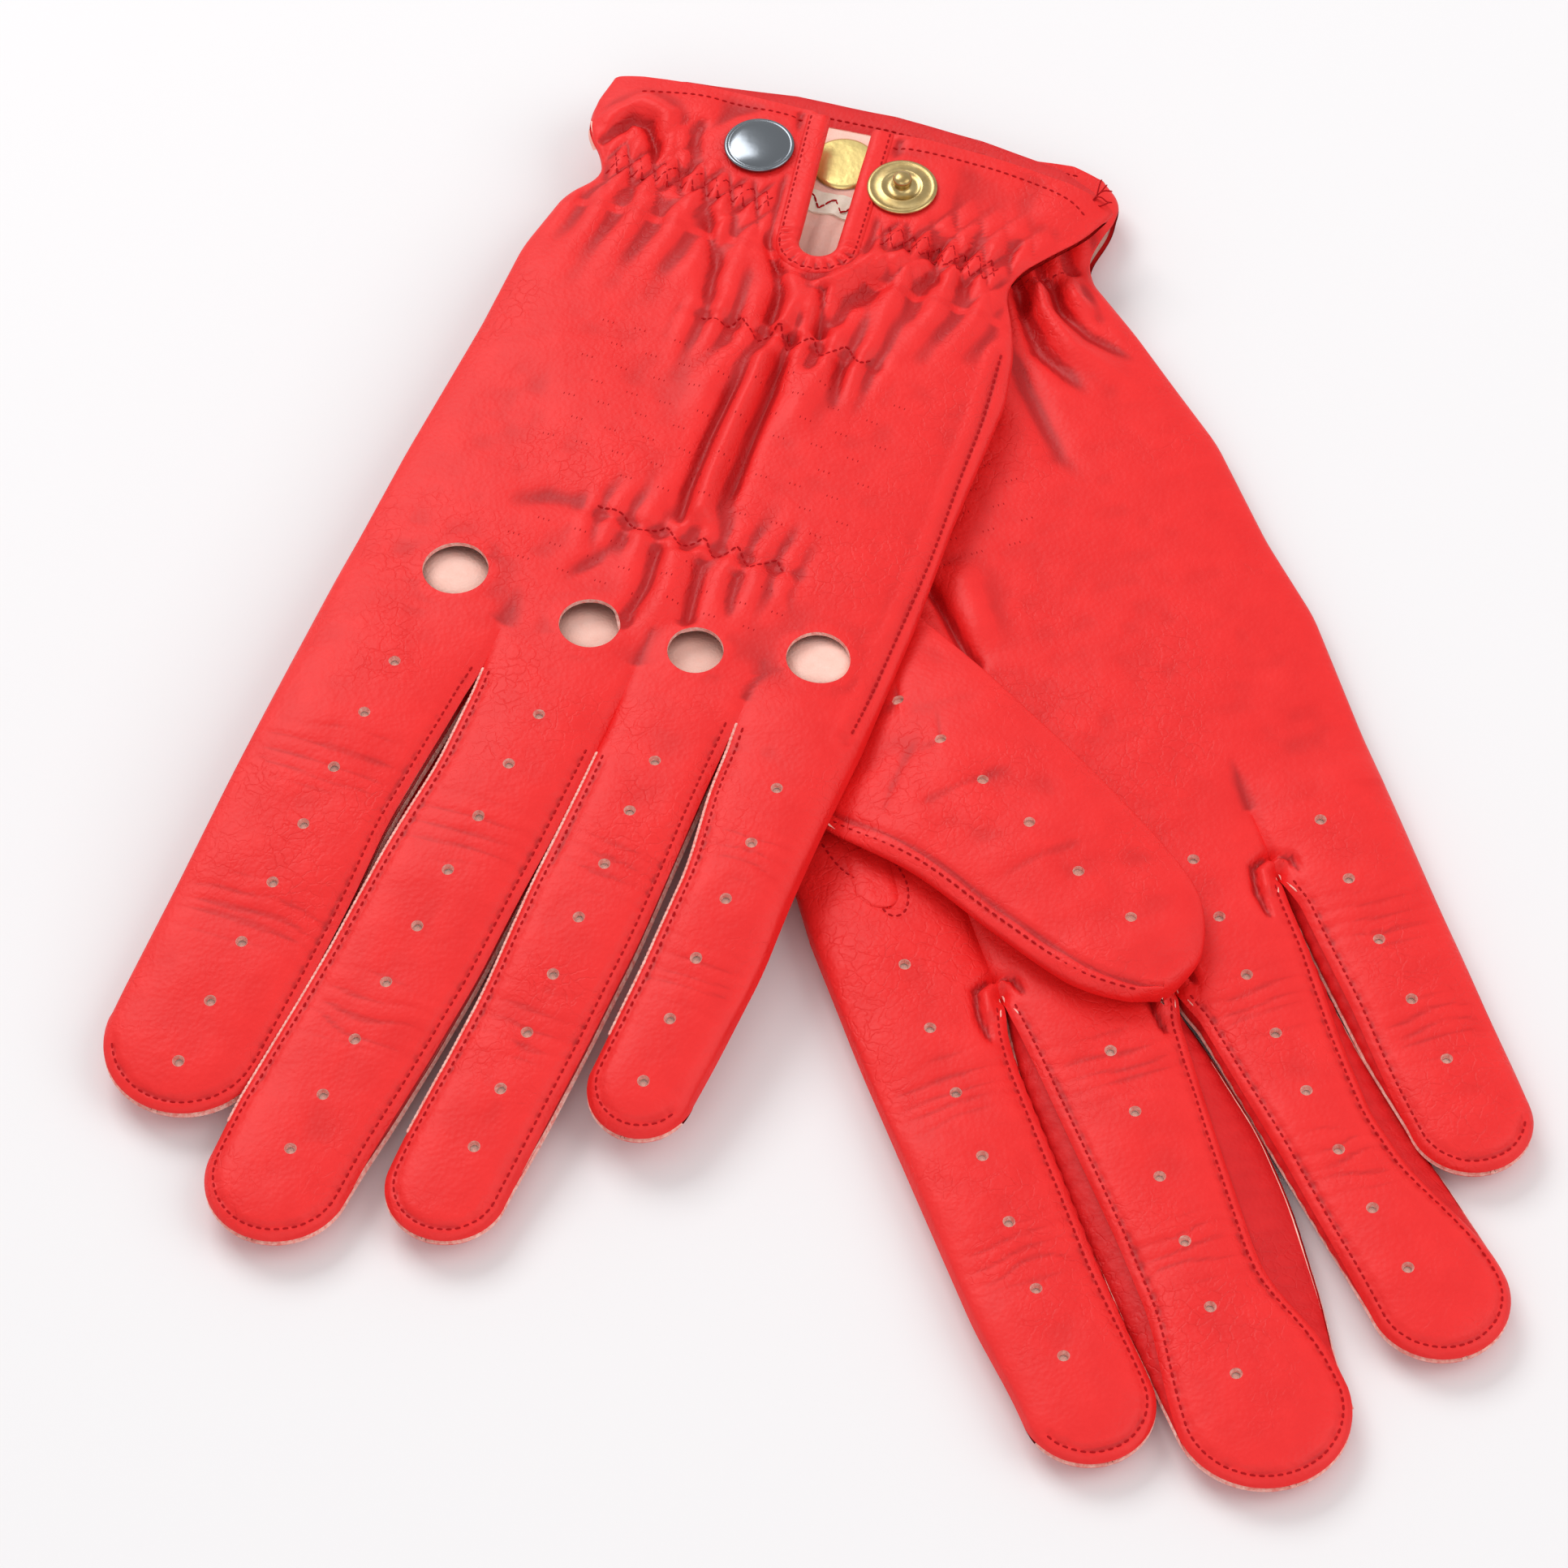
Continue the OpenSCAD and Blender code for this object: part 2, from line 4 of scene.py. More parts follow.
import bpy
import numpy as np
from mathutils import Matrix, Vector

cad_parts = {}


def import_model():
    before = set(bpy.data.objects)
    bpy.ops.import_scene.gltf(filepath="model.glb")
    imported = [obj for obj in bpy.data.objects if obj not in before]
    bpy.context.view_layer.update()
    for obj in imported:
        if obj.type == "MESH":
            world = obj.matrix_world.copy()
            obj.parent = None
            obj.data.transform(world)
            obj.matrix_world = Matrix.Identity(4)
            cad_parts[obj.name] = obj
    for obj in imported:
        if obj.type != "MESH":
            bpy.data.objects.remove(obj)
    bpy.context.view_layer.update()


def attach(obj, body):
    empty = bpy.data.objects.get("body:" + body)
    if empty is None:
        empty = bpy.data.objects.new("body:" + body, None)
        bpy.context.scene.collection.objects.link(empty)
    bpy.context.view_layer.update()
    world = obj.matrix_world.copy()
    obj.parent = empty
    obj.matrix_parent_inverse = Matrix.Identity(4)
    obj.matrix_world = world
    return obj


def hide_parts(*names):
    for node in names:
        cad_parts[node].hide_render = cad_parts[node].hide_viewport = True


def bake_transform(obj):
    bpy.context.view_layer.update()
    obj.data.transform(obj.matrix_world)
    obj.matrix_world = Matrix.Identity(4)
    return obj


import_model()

UP, LO = True, False
NAMES = ["index", "middle", "ring", "little"]

# ------------------------------------------------------------------ where the gloves lie
PLACE = {UP: (-0.9, 97.25, 8.2, -21.0), LO: (11.6, 78.75, 0.0, 18.0)}
SKIN = 0.85
HAND_T, CUFF_T = 7.6, 6.0


def world(up, x, y, h):
    """Glove millimetres (x across, y towards the wrist, h above the glove's underside) to metres in the row frame."""
    x0, y0, z0, phi = PLACE[up]
    c, s = math.cos(math.radians(phi)), math.sin(math.radians(phi))
    x, y, h = np.broadcast_arrays(np.asarray(x, float), np.asarray(y, float), np.asarray(h, float))
    return np.stack([x0 + c * x - s * y, y0 + s * x + c * y, z0 + h], -1) * 0.001


def lattice(i, j, seed):
    n = (i * 374761393 + j * 668265263 + seed * 974634777) & 0xFFFFFFFF
    n = ((n ^ (n >> 13)) * 1274126177) & 0xFFFFFFFF
    return ((n ^ (n >> 16)) & 0xFFFF) / 32767.5 - 1.0


def noise(x, y, size, seed=0):
    """Smooth noise, about -1 to 1, with features about size wide."""
    x, y = np.asarray(x, float) / size + 300.3 + seed * 7.7, np.asarray(y, float) / size + 300.7
    i, j = np.floor(x).astype(np.int64), np.floor(y).astype(np.int64)
    u, v = x - i, y - j
    u, v = u * u * u * (u * (6 * u - 15) + 10), v * v * v * (v * (6 * v - 15) + 10)
    a = lattice(i, j, seed) * (1 - u) + lattice(i + 1, j, seed) * u
    b = lattice(i, j + 1, seed) * (1 - u) + lattice(i + 1, j + 1, seed) * u
    return a * (1 - v) + b * v


def step(a, b, x):
    t = np.clip((np.asarray(x, float) - a) / (b - a), 0, 1)
    return t * t * (3 - 2 * t)


def table(points, soft=3.0):
    """A smoothed look-up of value against y, from (y, value) pairs."""
    pts = sorted(points)
    ys, vs = [p[0] for p in pts], [p[1] for p in pts]
    return lambda y: sum(np.interp(np.asarray(y, float) + d, ys, vs) for d in (-soft, -soft / 2, 0, soft / 2, soft)) / 5


def near(x, y, pts):
    """Distance to a polyline, and how far along it the nearest point is, from 0 to 1."""
    best = np.full(np.shape(x), 1e9)
    frac = np.zeros(np.shape(x))
    lens = [math.dist(a, b) for a, b in zip(pts, pts[1:])]
    run, total = 0.0, sum(lens)
    for (ax, ay), (bx, by), l in zip(pts, pts[1:], lens):
        t = np.clip(((x - ax) * (bx - ax) + (y - ay) * (by - ay)) / (l * l), 0, 1)
        d = np.hypot(x - ax - t * (bx - ax), y - ay - t * (by - ay))
        pick = d < best
        best = np.where(pick, d, best)
        frac = np.where(pick, (run + t * l) / total, frac)
        run += l
    return best, frac


def fold(x, y, pts, height, width, sharp=2.0, head=0.2, tail=0.2, gain=1.4):
    """A fold of the leather along a line: height above (or below) the rest, fading at both ends."""
    d, f = near(x, y, pts)
    ends = step(0, head, f) * (1 - step(1 - tail, 1, f)) if head else (1 - step(1 - tail, 1, f))
    return gain * height * np.exp(-((d / width) ** sharp)) * ends


# ------------------------------------------------------------------ outlines, glove millimetres
CUT = {UP: -97.0, LO: -108.0}
FORKS = {UP: [(-13.1, -102.4), (8.9, -110.6), (26.9, -98.8)], LO: [(-24.4, -127), (0.6, -133.5), (22.4, -119)]}
TIPS = {UP: [-189.5, -204.6, -195.6, -170.2], LO: [-205.2, -216.6, -204.8, -177.0]}
LEFT = {
    UP: [
        [(-97, -41.4), (-121, -41.4), (-151, -41.8), (-172, -42.4), (-190, -42.4)],
        [(-97, -13.1), (-123, -12.7), (-137, -14.3), (-157, -15.7), (-173, -17.4), (-185, -18.6), (-205, -18.8)],
        [(-97, 8.9), (-123, 9.0), (-138, 8.6), (-155, 8.6), (-168, 7.7), (-183, 6.4), (-196, 6.6)],
        [(-97, 26.9), (-112, 27.4), (-127, 29.4), (-145, 29.2), (-164, 28.0), (-170, 28.0)],
    ],
    LO: [
        [(-108, -48), (-132, -48), (-156, -47.3), (-179, -46.6), (-191, -45.2), (-205, -44.6)],
        [(-108, -24.4), (-127, -24.4), (-141, -26.2), (-160, -26.3), (-182, -26.0), (-200, -25.2), (-216, -24.8)],
        [(-108, 0.6), (-134, 0.9), (-145, 2.6), (-160, 4.2), (-172, 5.6), (-185, 7.2), (-205, 9.0)],
        [(-108, 22.4), (-120, 22.5), (-135, 22.7), (-152, 23.4), (-166, 24.6), (-177, 25.4)],
    ],
}
RIGHT = {
    UP: [
        [(-97, -13.1), (-119, -14.3), (-135, -15.6), (-148, -15.6), (-164, -16.4), (-176, -17.4), (-190, -18.4)],
        [(-97, 8.9), (-119, 8.9), (-130, 8.6), (-140, 7.9), (-154, 7.1), (-171, 5.1), (-187, 3.1), (-205, 2.2)],
        [(-97, 26.9), (-109, 26.8), (-127, 27.3), (-141, 27.4), (-157, 26.5), (-173, 25.4), (-185, 24.6), (-196, 24.2)],
        [(-97, 46.0), (-111, 45.8), (-128, 45.9), (-139, 46.2), (-155, 45.0), (-170, 43.4)],
    ],
    LO: [
        [(-108, -24.4), (-127, -24.6), (-141, -26.0), (-156, -25.8), (-174, -26.0), (-190, -25.6), (-205, -25.6)],
        [(-108, 0.6), (-134, 0.4), (-145, 2.2), (-160, 4.4), (-172, 4.4), (-189, 2.8), (-200, 0.9), (-216, 0.2)],
        [(-108, 22.4), (-120, 22.3), (-136, 22.4), (-150, 23.2), (-165, 24.9), (-178, 27.4), (-190, 28.8), (-205, 28.6)],
        [(-108, 44.2), (-127, 43.8), (-157, 43.4), (-170, 43.2), (-177, 43.2)],
    ],
}
XL = {g: [table(p) for p in LEFT[g]] for g in (UP, LO)}
XR = {g: [table(p) for p in RIGHT[g]] for g in (UP, LO)}
HL = {
    UP: table([(30, -41), (20, -40.6), (12, -41.6), (6, -40.4), (1, -36), (-3, -34.6), (-9, -38.6), (-22, -40.6), (-40, -40.4), (-68, -41.3), (-97, -41.4), (-120, -41.4)], 2),
    LO: table([(30, -41), (12, -41.5), (6, -40), (1, -36), (-3, -35.5), (-9, -39), (-22, -41.4), (-60, -44.4), (-108, -48), (-130, -48)], 2),
}
HR = {
    UP: table([(30, 45.6), (20, 46), (12, 43.2), (6, 39), (1, 35.6), (-3, 35.4), (-9, 38.6), (-15, 41), (-25, 43.2), (-52, 44), (-71, 45.3), (-97, 46), (-120, 46)], 2),
    LO: table([(30, 44), (20, 45), (15, 46), (8, 42), (4, 37), (1, 35.6), (-12, 38.8), (-37, 43.4), (-58, 43.9), (-74, 45.6), (-98, 44.4), (-108, 44.2), (-130, 44)], 2),
}
THICK = table([(40, CUFF_T), (8, CUFF_T), (-2, 6.4), (-12, 7.0), (-24, HAND_T), (-130, HAND_T)], 2)
SQ = 2.6


def drop(up, y):
    return -7.6 * step(-118, -192, y) if up else 0 * np.asarray(y, float)


def middle(up, y):
    t = THICK(y)
    return t / 2 + drop(up, y) if up else HAND_T - t / 2


def columns(up):
    """Across-each-finger columns at the cut, one array per finger, as shares from -1 to 1 of that finger's width."""
    y, out = CUT[up], []
    for f in range(4):
        a, b = float(XL[up][f](y)), float(XR[up][f](y))
        n = int(round((b - a) / 0.5))
        u = np.linspace(0, 1, n + 1)
        if f == 0:
            u = 0.45 * u + 0.55 * u**1.6
        if f == 3:
            u = 1 - (0.45 * (1 - u) + 0.55 * (1 - u) ** 1.6)
        out.append(2 * u - 1)
    return out


def crown(t, f, side_fold_left, side_fold_right):
    """Height of a finger's panel across its width, 1 at the middle: a fold comes down to 0, a seamed edge stays up."""
    a = np.clip(np.abs(t), 0, 1)
    folded = (1 - a**SQ) ** (1 / SQ)
    seamed = 0.42 + 0.58 * (1 - a**3.2) ** (1 / 1.5)
    is_fold = np.where(t < 0, side_fold_left, side_fold_right)
    return np.where(is_fold, folded, seamed)


def edge_marks(up):
    """Places of the finger boundaries across the hand at the cut, as shares of its half width."""
    y = CUT[up]
    c, w = (float(HL[up](y)) + float(HR[up](y))) / 2, (float(HR[up](y)) - float(HL[up](y))) / 2
    return [(float(v) - c) / w for v in [HL[up](y)] + [XR[up][k](y) for k in range(3)] + [HR[up](y)]]


# ------------------------------------------------------------------ relief of the leather, millimetres outwards
VENT_X, VENT_Y, VENT_R = 4.3, -5.9, 3.9


def vent_half(y):
    """Half width of the vent at y: a round foot, then slowly widening."""
    y = np.asarray(y, float)
    foot = VENT_R * np.sqrt(np.clip(1 - ((y - VENT_Y) / VENT_R) ** 2, 0, 1))
    return np.where(y < VENT_Y - VENT_R, 0, np.where(y < VENT_Y, foot, VENT_R + 0.02 * (y - VENT_Y)))


def vent_mid(y):
    return VENT_X - 0.16 * np.clip(np.asarray(y, float) - VENT_Y, 0, 40)


def vent_distance(x, y):
    foot = np.hypot(x - VENT_X, y - VENT_Y) - VENT_R
    sides = np.abs(x - vent_mid(y)) - vent_half(y)
    return np.where(y < VENT_Y, foot, sides)


ZIG = {
    1: [(-7.6, -27.4), (-3, -27.8), (-1.4, -25.6), (2.6, -29), (5.4, -25.8), (7.8, -29.2), (11, -25.6), (13.6, -28.8), (16.6, -25), (19.6, -28), (21.8, -25.4)],
    2: [(-8.4, -69.2), (-3.8, -69.4), (-0.4, -71.6), (3.4, -69.2), (6.4, -72), (9.8, -69.4), (12.2, -72.4), (15.2, -69.2), (18.2, -72.2), (21.4, -69), (24.2, -71.8)],
}


def back_relief(x, y):
    z = 0.34 * noise(x, y, 22, 3) + 0.16 * noise(x, y, 9, 4) + 0.05 * noise(x, y, 3.4, 5)
    z = z + fold(x, y, [(5.0, -29), (5.6, -38), (5.8, -46), (6.4, -58), (7.6, -69)], 1.7, 2.0, 2.2, 0.12, 0.1)
    z = z + fold(x, y, [(3.6, -33), (2.8, -41), (2.9, -50), (3.7, -61), (5.2, -69.5)], -1.35, 1.15, 1.5, 0.25, 0.1)
    z = z + fold(x, y, [(7.2, -29), (8.4, -38), (8.9, -47), (9.8, -57), (10.4, -66)], -1.5, 1.25, 1.5, 0.1, 0.25)
    z = z + fold(x, y, [(12.5, -30), (13.6, -38), (14.4, -48)], 0.75, 2.4, 2, 0.2, 0.6)
    z = z + fold(x, y, [(-0.6, -30), (-1.6, -40), (-1.4, -52)], 0.6, 2.6, 2, 0.2, 0.6)
    z = z + fold(x, y, [(16.6, -28), (18.0, -34), (19.5, -40)], -0.8, 1.1, 1.6, 0.05, 0.7)
    z = z + fold(x, y, [(-14.5, -5), (-12.4, -11), (-9.4, -16), (-7.6, -26)], -1.1, 1.3, 1.6, 0.15, 0.2)
    z = z + fold(x, y, [(-4.2, -5), (-0.6, -12), (2.4, -18), (3.8, -26)], -1.3, 1.3, 1.6, 0.2, 0.1)
    z = z + fold(x, y, [(1.0, -13), (5.6, -19), (6.6, -27)], 1.0, 2.2, 2, 0.2, 0.1)
    z = z + fold(x, y, [(8.6, -14.5), (9.9, -19), (11.6, -25.4)], -1.5, 1.1, 1.5, 0.1, 0.1)
    z = z + fold(x, y, [(9.6, -24), (9.4, -15), (12.4, -8), (18.0, -4.6), (24, -5)], 1.5, 2.4, 2, 0.15, 0.35)
    z = z + fold(x, y, [(13.2, -24), (13.4, -17), (16.0, -11), (21.6, -8.4)], -1.0, 1.5, 1.7, 0.2, 0.4)
    z = z + fold(x, y, [(24.0, -4), (22.4, -11), (24.6, -18)], -0.7, 1.3, 1.6, 0.1, 0.6)
    z = z + fold(x, y, [(29.0, -3), (28.6, -9), (31.0, -14)], -0.7, 1.3, 1.6, 0.1, 0.6)
    z = z + fold(x, y, [(3.6, -72), (4.6, -81), (4.0, -92)], -1.0, 1.2, 1.6, 0.1, 0.2)
    z = z + fold(x, y, [(10.2, -72.5), (11.8, -79), (13.4, -87)], -1.1, 1.2, 1.6, 0.1, 0.15)
    z = z + fold(x, y, [(7.0, -72.5), (8.0, -81), (8.2, -90)], 0.9, 2.2, 2, 0.1, 0.4)
    z = z + fold(x, y, [(16.4, -73), (17.6, -79), (19, -84)], -0.7, 1.1, 1.6, 0.1, 0.5)
    z = z + fold(x, y, [(-2.5, -72), (-4.5, -79), (-8.5, -86)], -0.5, 1.6, 1.7, 0.1, 0.6)
    z = z + fold(x, y, [(-9, -69), (-16, -70), (-24, -74)], -0.35, 2.2, 2, 0.1, 0.6)
    for x0, x1, yz in ((-8, 22, -27.2), (-8, 24, -70.6)):
        span = step(x0 - 5, x0 + 3, x) * (1 - step(x1 - 3, x1 + 5, x))
        pleat = np.cos(2 * math.pi * (x + 0.8 * noise(x, y, 8, 6)) / 4.9 + (y - yz) * 0.06)
        z = z + span * ((0.75 if yz > -50 else 0.42) * pleat * np.exp(-(((y - yz) / 6.5) ** 2)) - 0.7 * np.exp(-(((y - yz) / 1.3) ** 2)))
    smock = np.exp(-((y / 7.5) ** 2)) * step(3.4, 8, vent_distance(x, y))
    skew = x + 0.46 * y
    skew2 = x - 0.46 * y
    cells = np.minimum(np.abs(np.sin(math.pi * skew / 4.4)), np.abs(np.sin(math.pi * skew2 / 4.4)))
    z = z + smock * 1.25 * (cells - 0.45)
    long = np.exp(-(((y + 9) / 10) ** 2)) * step(6, 12, vent_distance(x, y))
    z = z + 0.6 * long * np.cos(2 * math.pi * (x + 1.5 * noise(x, y, 14, 8)) / 6.5)
    z = z + 0.5 * np.exp(-(((y - 14) / 6) ** 2)) * noise(x, y, 7, 9)
    z = z + fold(x, y, [(-39.5, 2.6), (-36.6, 4.6), (-34.2, 9.6), (-31.2, 9.4), (-28.6, 6.0), (-26.2, 1.2)], -1.5, 1.1, 1.8, 0.1, 0.2)
    z = z + fold(x, y, [(-40, 6.8), (-37.5, 9.8), (-33.5, 13.2), (-28.6, 11.6), (-25.6, 6.4)], 0.9, 1.7, 2, 0.1, 0.3)
    z = z + fold(x, y, [(-22.6, 14.5), (-23.2, 9.8), (-21.4, 4.6), (-20.8, -1)], -0.8, 1.0, 1.7, 0.3, 0.2)
    z = z + fold(x, y, [(20.5, 5.6), (22.6, 1.8), (21.8, -3.6)], -0.8, 0.9, 1.7, 0.3, 0.3)
    z = z + fold(x, y, [(26.5, 7.6), (27.6, 2.8), (26.4, -3.0)], -0.8, 0.9, 1.7, 0.3, 0.3)
    z = z + fold(x, y, [(33.5, 9.2), (33.4, 3.8), (31.6, -2.2)], -0.8, 0.9, 1.7, 0.3, 0.3)
    d = vent_distance(x, y)
    z = np.where(d < 4.6, z * step(2.0, 4.6, d), z)
    z = z - 0.45 * np.exp(-(((d - 4.3) / 0.6) ** 2)) * (y < 20)
    side, _ = near(x, y, SIDE_SEAM)
    z = z - 0.55 * np.exp(-((side / 0.7) ** 2)) + 0.3 * np.exp(-(((side - 1.6) / 1.0) ** 2))
    for kx, ky, r in KNUCKLES:
        q = np.hypot(x - kx, y - ky)
        z = z + 0.18 * np.exp(-(((q - r) / 1.6) ** 2))
    return z


def palm_relief(x, y):
    z = 0.3 * noise(x, y, 24, 13) + 0.15 * noise(x, y, 9, 14) + 0.05 * noise(x, y, 3.2, 15)
    z = z + fold(x, y, [(24, 2), (22, -4), (22, -12), (27, -25)], -1.2, 1.5, 1.7, 0.1, 0.5)
    z = z + fold(x, y, [(27, 2), (25, -5), (27.5, -14), (36, -26)], 1.3, 2.2, 2, 0.1, 0.6)
    z = z + fold(x, y, [(30, 3), (28.5, -4), (31, -11), (38, -20)], -1.2, 1.4, 1.7, 0.1, 0.5)
    z = z + fold(x, y, [(33, 2), (32, -3), (34, -9)], 1.0, 1.5, 2, 0.1, 0.5)
    z = z + fold(x, y, [(18, -8), (17.4, -20), (18, -34), (21, -44)], -0.8, 2.2, 1.8, 0.2, 0.6)
    z = z + fold(x, y, [(12, -4), (12.6, -16), (14, -30)], 0.8, 3, 2, 0.2, 0.6)
    z = z + fold(x, y, [(-11, -46), (-9.6, -55), (-9, -63), (-8, -71)], -1.5, 1.1, 1.5, 0.3, 0.12)
    z = z + fold(x, y, [(-5, -48), (-5.2, -58), (-5.6, -68)], 0.7, 2.8, 2, 0.3, 0.4)
    z = z + fold(x, y, [(-14, -56), (-14.4, -66)], 0.5, 2.4, 2, 0.3, 0.4)
    pucker = np.exp(-((y / 8) ** 2))
    z = z + pucker * 0.9 * np.cos(2 * math.pi * (x + 0.9 * noise(x, y, 9, 16)) / 5.2)
    return z


SIDE_SEAM = [(39.4, -16.4), (41.2, -30), (42.0, -43.4), (43.2, -60.4), (43.8, -85.6), (44.0, -98)]
KNUCKLES = [(-24.0, -88.6, 5.1), (-0.6, -91.4, 4.7), (16.4, -90.4, 4.3), (34.2, -84.6, 4.9)]
PERFS = {
    UP: [
        [(-25.6 - 0.045 * k * 10.6, -108.6 - 10.5 * k) for k in range(8)],
        [(-1.2 - 0.078 * k * 10, -110.2 - 10.0 * k) for k in range(9)],
        [(18.2 - 0.012 * k * 10, -111.6 - 9.85 * k) for k in range(8)],
        [(36.6 + (0.6 if k in (1, 2, 3) else 0), -99.5 - 10.5 * k) for k in range(7)],
    ],
    LO: [
        [(-36.6, -118.4 - 11.7 * k) for k in range(7)],
        [(-11.9 - 0.35 * k, -119.0 - 11.4 * k) for k in range(8)],
        [(10.7 + 0.09 * k * k, -113.8 - 10.9 * k) for k in range(8)],
        [(31.5 + 0.2 * k * k / 1.4, -112.8 - 11.4 * k) for k in range(5)],
    ],
}


def finger_relief(up, f, x, y, edge, seam_left, seam_right, t):
    """Creases, seam grooves and softness of one finger's panel; edge is the distance from its edge."""
    z = 0.28 * noise(x, y, 13, 20 + f) + 0.12 * noise(x, y, 5.5, 24 + f)
    root, tip = CUT[up], TIPS[up][f]
    for k, share in enumerate((0.34, 0.64)):
        yc = root + (tip - root) * share
        for m in range(-2, 3):
            yy = yc + m * 2.7 + 1.2 * noise(x, 0 * x + m * 5, 8, 30 + f + 4 * k)
            z = z - (0.13 if abs(m) < 2 else 0.07) * np.exp(-(((y - yy) / 0.45) ** 2)) * step(0.5, 3, edge)
        z = z - 0.28 * np.exp(-(((y - yc) / 5) ** 2))
    seamed = np.where(t < 0, seam_left, seam_right)
    z = z - seamed * 0.32 * np.exp(-(((edge - 1.7) / 0.5) ** 2))
    ripple = np.sin(2 * math.pi * y / 2.6) * np.exp(-(((edge - 1.4) / 1.2) ** 2))
    return z + seamed * 0.07 * ripple


# ------------------------------------------------------------------ surfaces in the glove's own frame: x, y, z with the palm at 0
PALM_EDGES = {
    (0, 1): table([(-108, -24.4), (-127, -24.8), (-139, -26.3), (-184, -26.7), (-196, -27.6), (-205, -28)], 2),
    (1, -1): table([(-108, -24.4), (-127, -24.4), (-141, -23.6), (-173, -22.5), (-209, -22.7), (-216, -22.7)], 2),
    (1, 1): table([(-108, 0.6), (-132.5, -0.1), (-159, -2.6), (-180, -4.2), (-192, -3.6), (-204, -1.8), (-216, -0.4)], 2),
    (2, -1): table([(-108, 0.6), (-133, 1.2), (-167, 5.3), (-195, 7.9), (-205, 9.6)], 2),
    (2, 1): table([(-108, 22.4), (-133, 22.0), (-150, 20.6), (-163, 20.2), (-189, 24.6), (-204, 25)], 2),
    (3, -1): table([(-108, 22.4), (-120, 23.4), (-150, 24.4), (-177, 25.6)], 2),
}
FOLDED = {(0, -1), (3, 1)}


def fork_at(f, side):
    """Index of the fork beside a finger, or None on the outside of the hand."""
    k = f if side > 0 else f - 1
    return k if 0 <= k < 3 else None


def edge_x(up, f, side, y, back=True):
    y = np.asarray(y, float)
    own = (XR if side > 0 else XL)[up][f](y)
    if not up and not back and (f, side) in PALM_EDGES:
        k = step(TIPS[up][f] + 34, TIPS[up][f] + 9, y)
        own = PALM_EDGES[(f, side)](y) * (1 - k) + own * k
    k = fork_at(f, side)
    if k is None:
        return own
    fx, fy = FORKS[up][k]
    far = step(fy, fy - 7, y)
    return fx * (1 - far) + own * far


def finger_parts(up, f, x, y, back=True):
    tip = TIPS[up][f]
    a0, b0 = edge_x(up, f, -1, tip + 10, back), edge_x(up, f, 1, tip + 10, back)
    r = float(b0 - a0) / 2
    y1 = tip + r
    yy = np.maximum(y, y1)
    a, b = edge_x(up, f, -1, yy, back), edge_x(up, f, 1, yy, back)
    c, w = (a + b) / 2, (b - a) / 2
    t = (x - c) / w
    over = np.clip(y1 - y, 0, None) / r
    reach = np.where(y < y1, np.hypot(t, over), np.abs(t))
    return c, w, t, over, np.clip(reach, 0, 1), y1, r


def edge_rise(up, f, y):
    tip = TIPS[up][f]
    root = (0.36 if up else 0.24) * step(CUT[up] - 12, CUT[up], y)
    return 0.16 + 0.28 * step(tip + 8, tip + 26, y) + root


def finger_half(up, f, y):
    return THICK(y) / 2 - 0.35 * step(CUT[up], CUT[up] - 40, y) - 0.5 * step(TIPS[up][f] + 22, TIPS[up][f], y)


def hand_parts(up, x, y):
    lo, hi = HL[up](y), HR[up](y)
    c, w = (lo + hi) / 2, (hi - lo) / 2
    return c, w, np.clip((x - c) / w, -1, 1)


MARKS = {}
for g in (UP, LO):
    MARKS[g] = edge_marks(g)


def leather_relief(up, back, x, y):
    """The hidden faces are pressed flat: the lower glove's back by the table, the upper glove's palm by the lower glove."""
    if back:
        z = back_relief(x, y)
        return z if up else np.minimum(0.5 * z, 0.0) - 0.05
    z = palm_relief(x, y)
    return np.clip(0.5 * z, -1, 0.25) if up else z


def seamed_profile(a, rise):
    return rise + (1 - rise) * (1 - a**3.0) ** (1 / 1.6)


def hand_z(up, back, x, y, relief=True):
    c, w, m = hand_parts(up, x, y)
    k = step(CUT[up] + 12, CUT[up], y)
    prof = (1 - np.abs(m) ** SQ) ** (1 / SQ)
    marks = MARKS[up]
    f = np.clip(np.searchsorted(marks, m) - 1, 0, 3)
    lo, hi = np.take(marks, f), np.take(marks, f + 1)
    t = np.clip(2 * (m - lo) / (hi - lo) - 1, -1, 1)
    a = np.abs(t)
    fold_side = ((f == 0) & (t < 0)) | ((f == 3) & (t > 0))
    cr = np.where(fold_side, (1 - a**SQ) ** (1 / SQ), seamed_profile(a, 0.8 if up else 0.68))
    half = THICK(y) / 2
    body = half * ((1 - k) * prof + k * cr)
    if relief:
        body = body + leather_relief(up, back, x, y) * (1 - np.abs(m) ** 12)
    return THICK(y) / 2 + drop(up, y) + (body if back else -body)


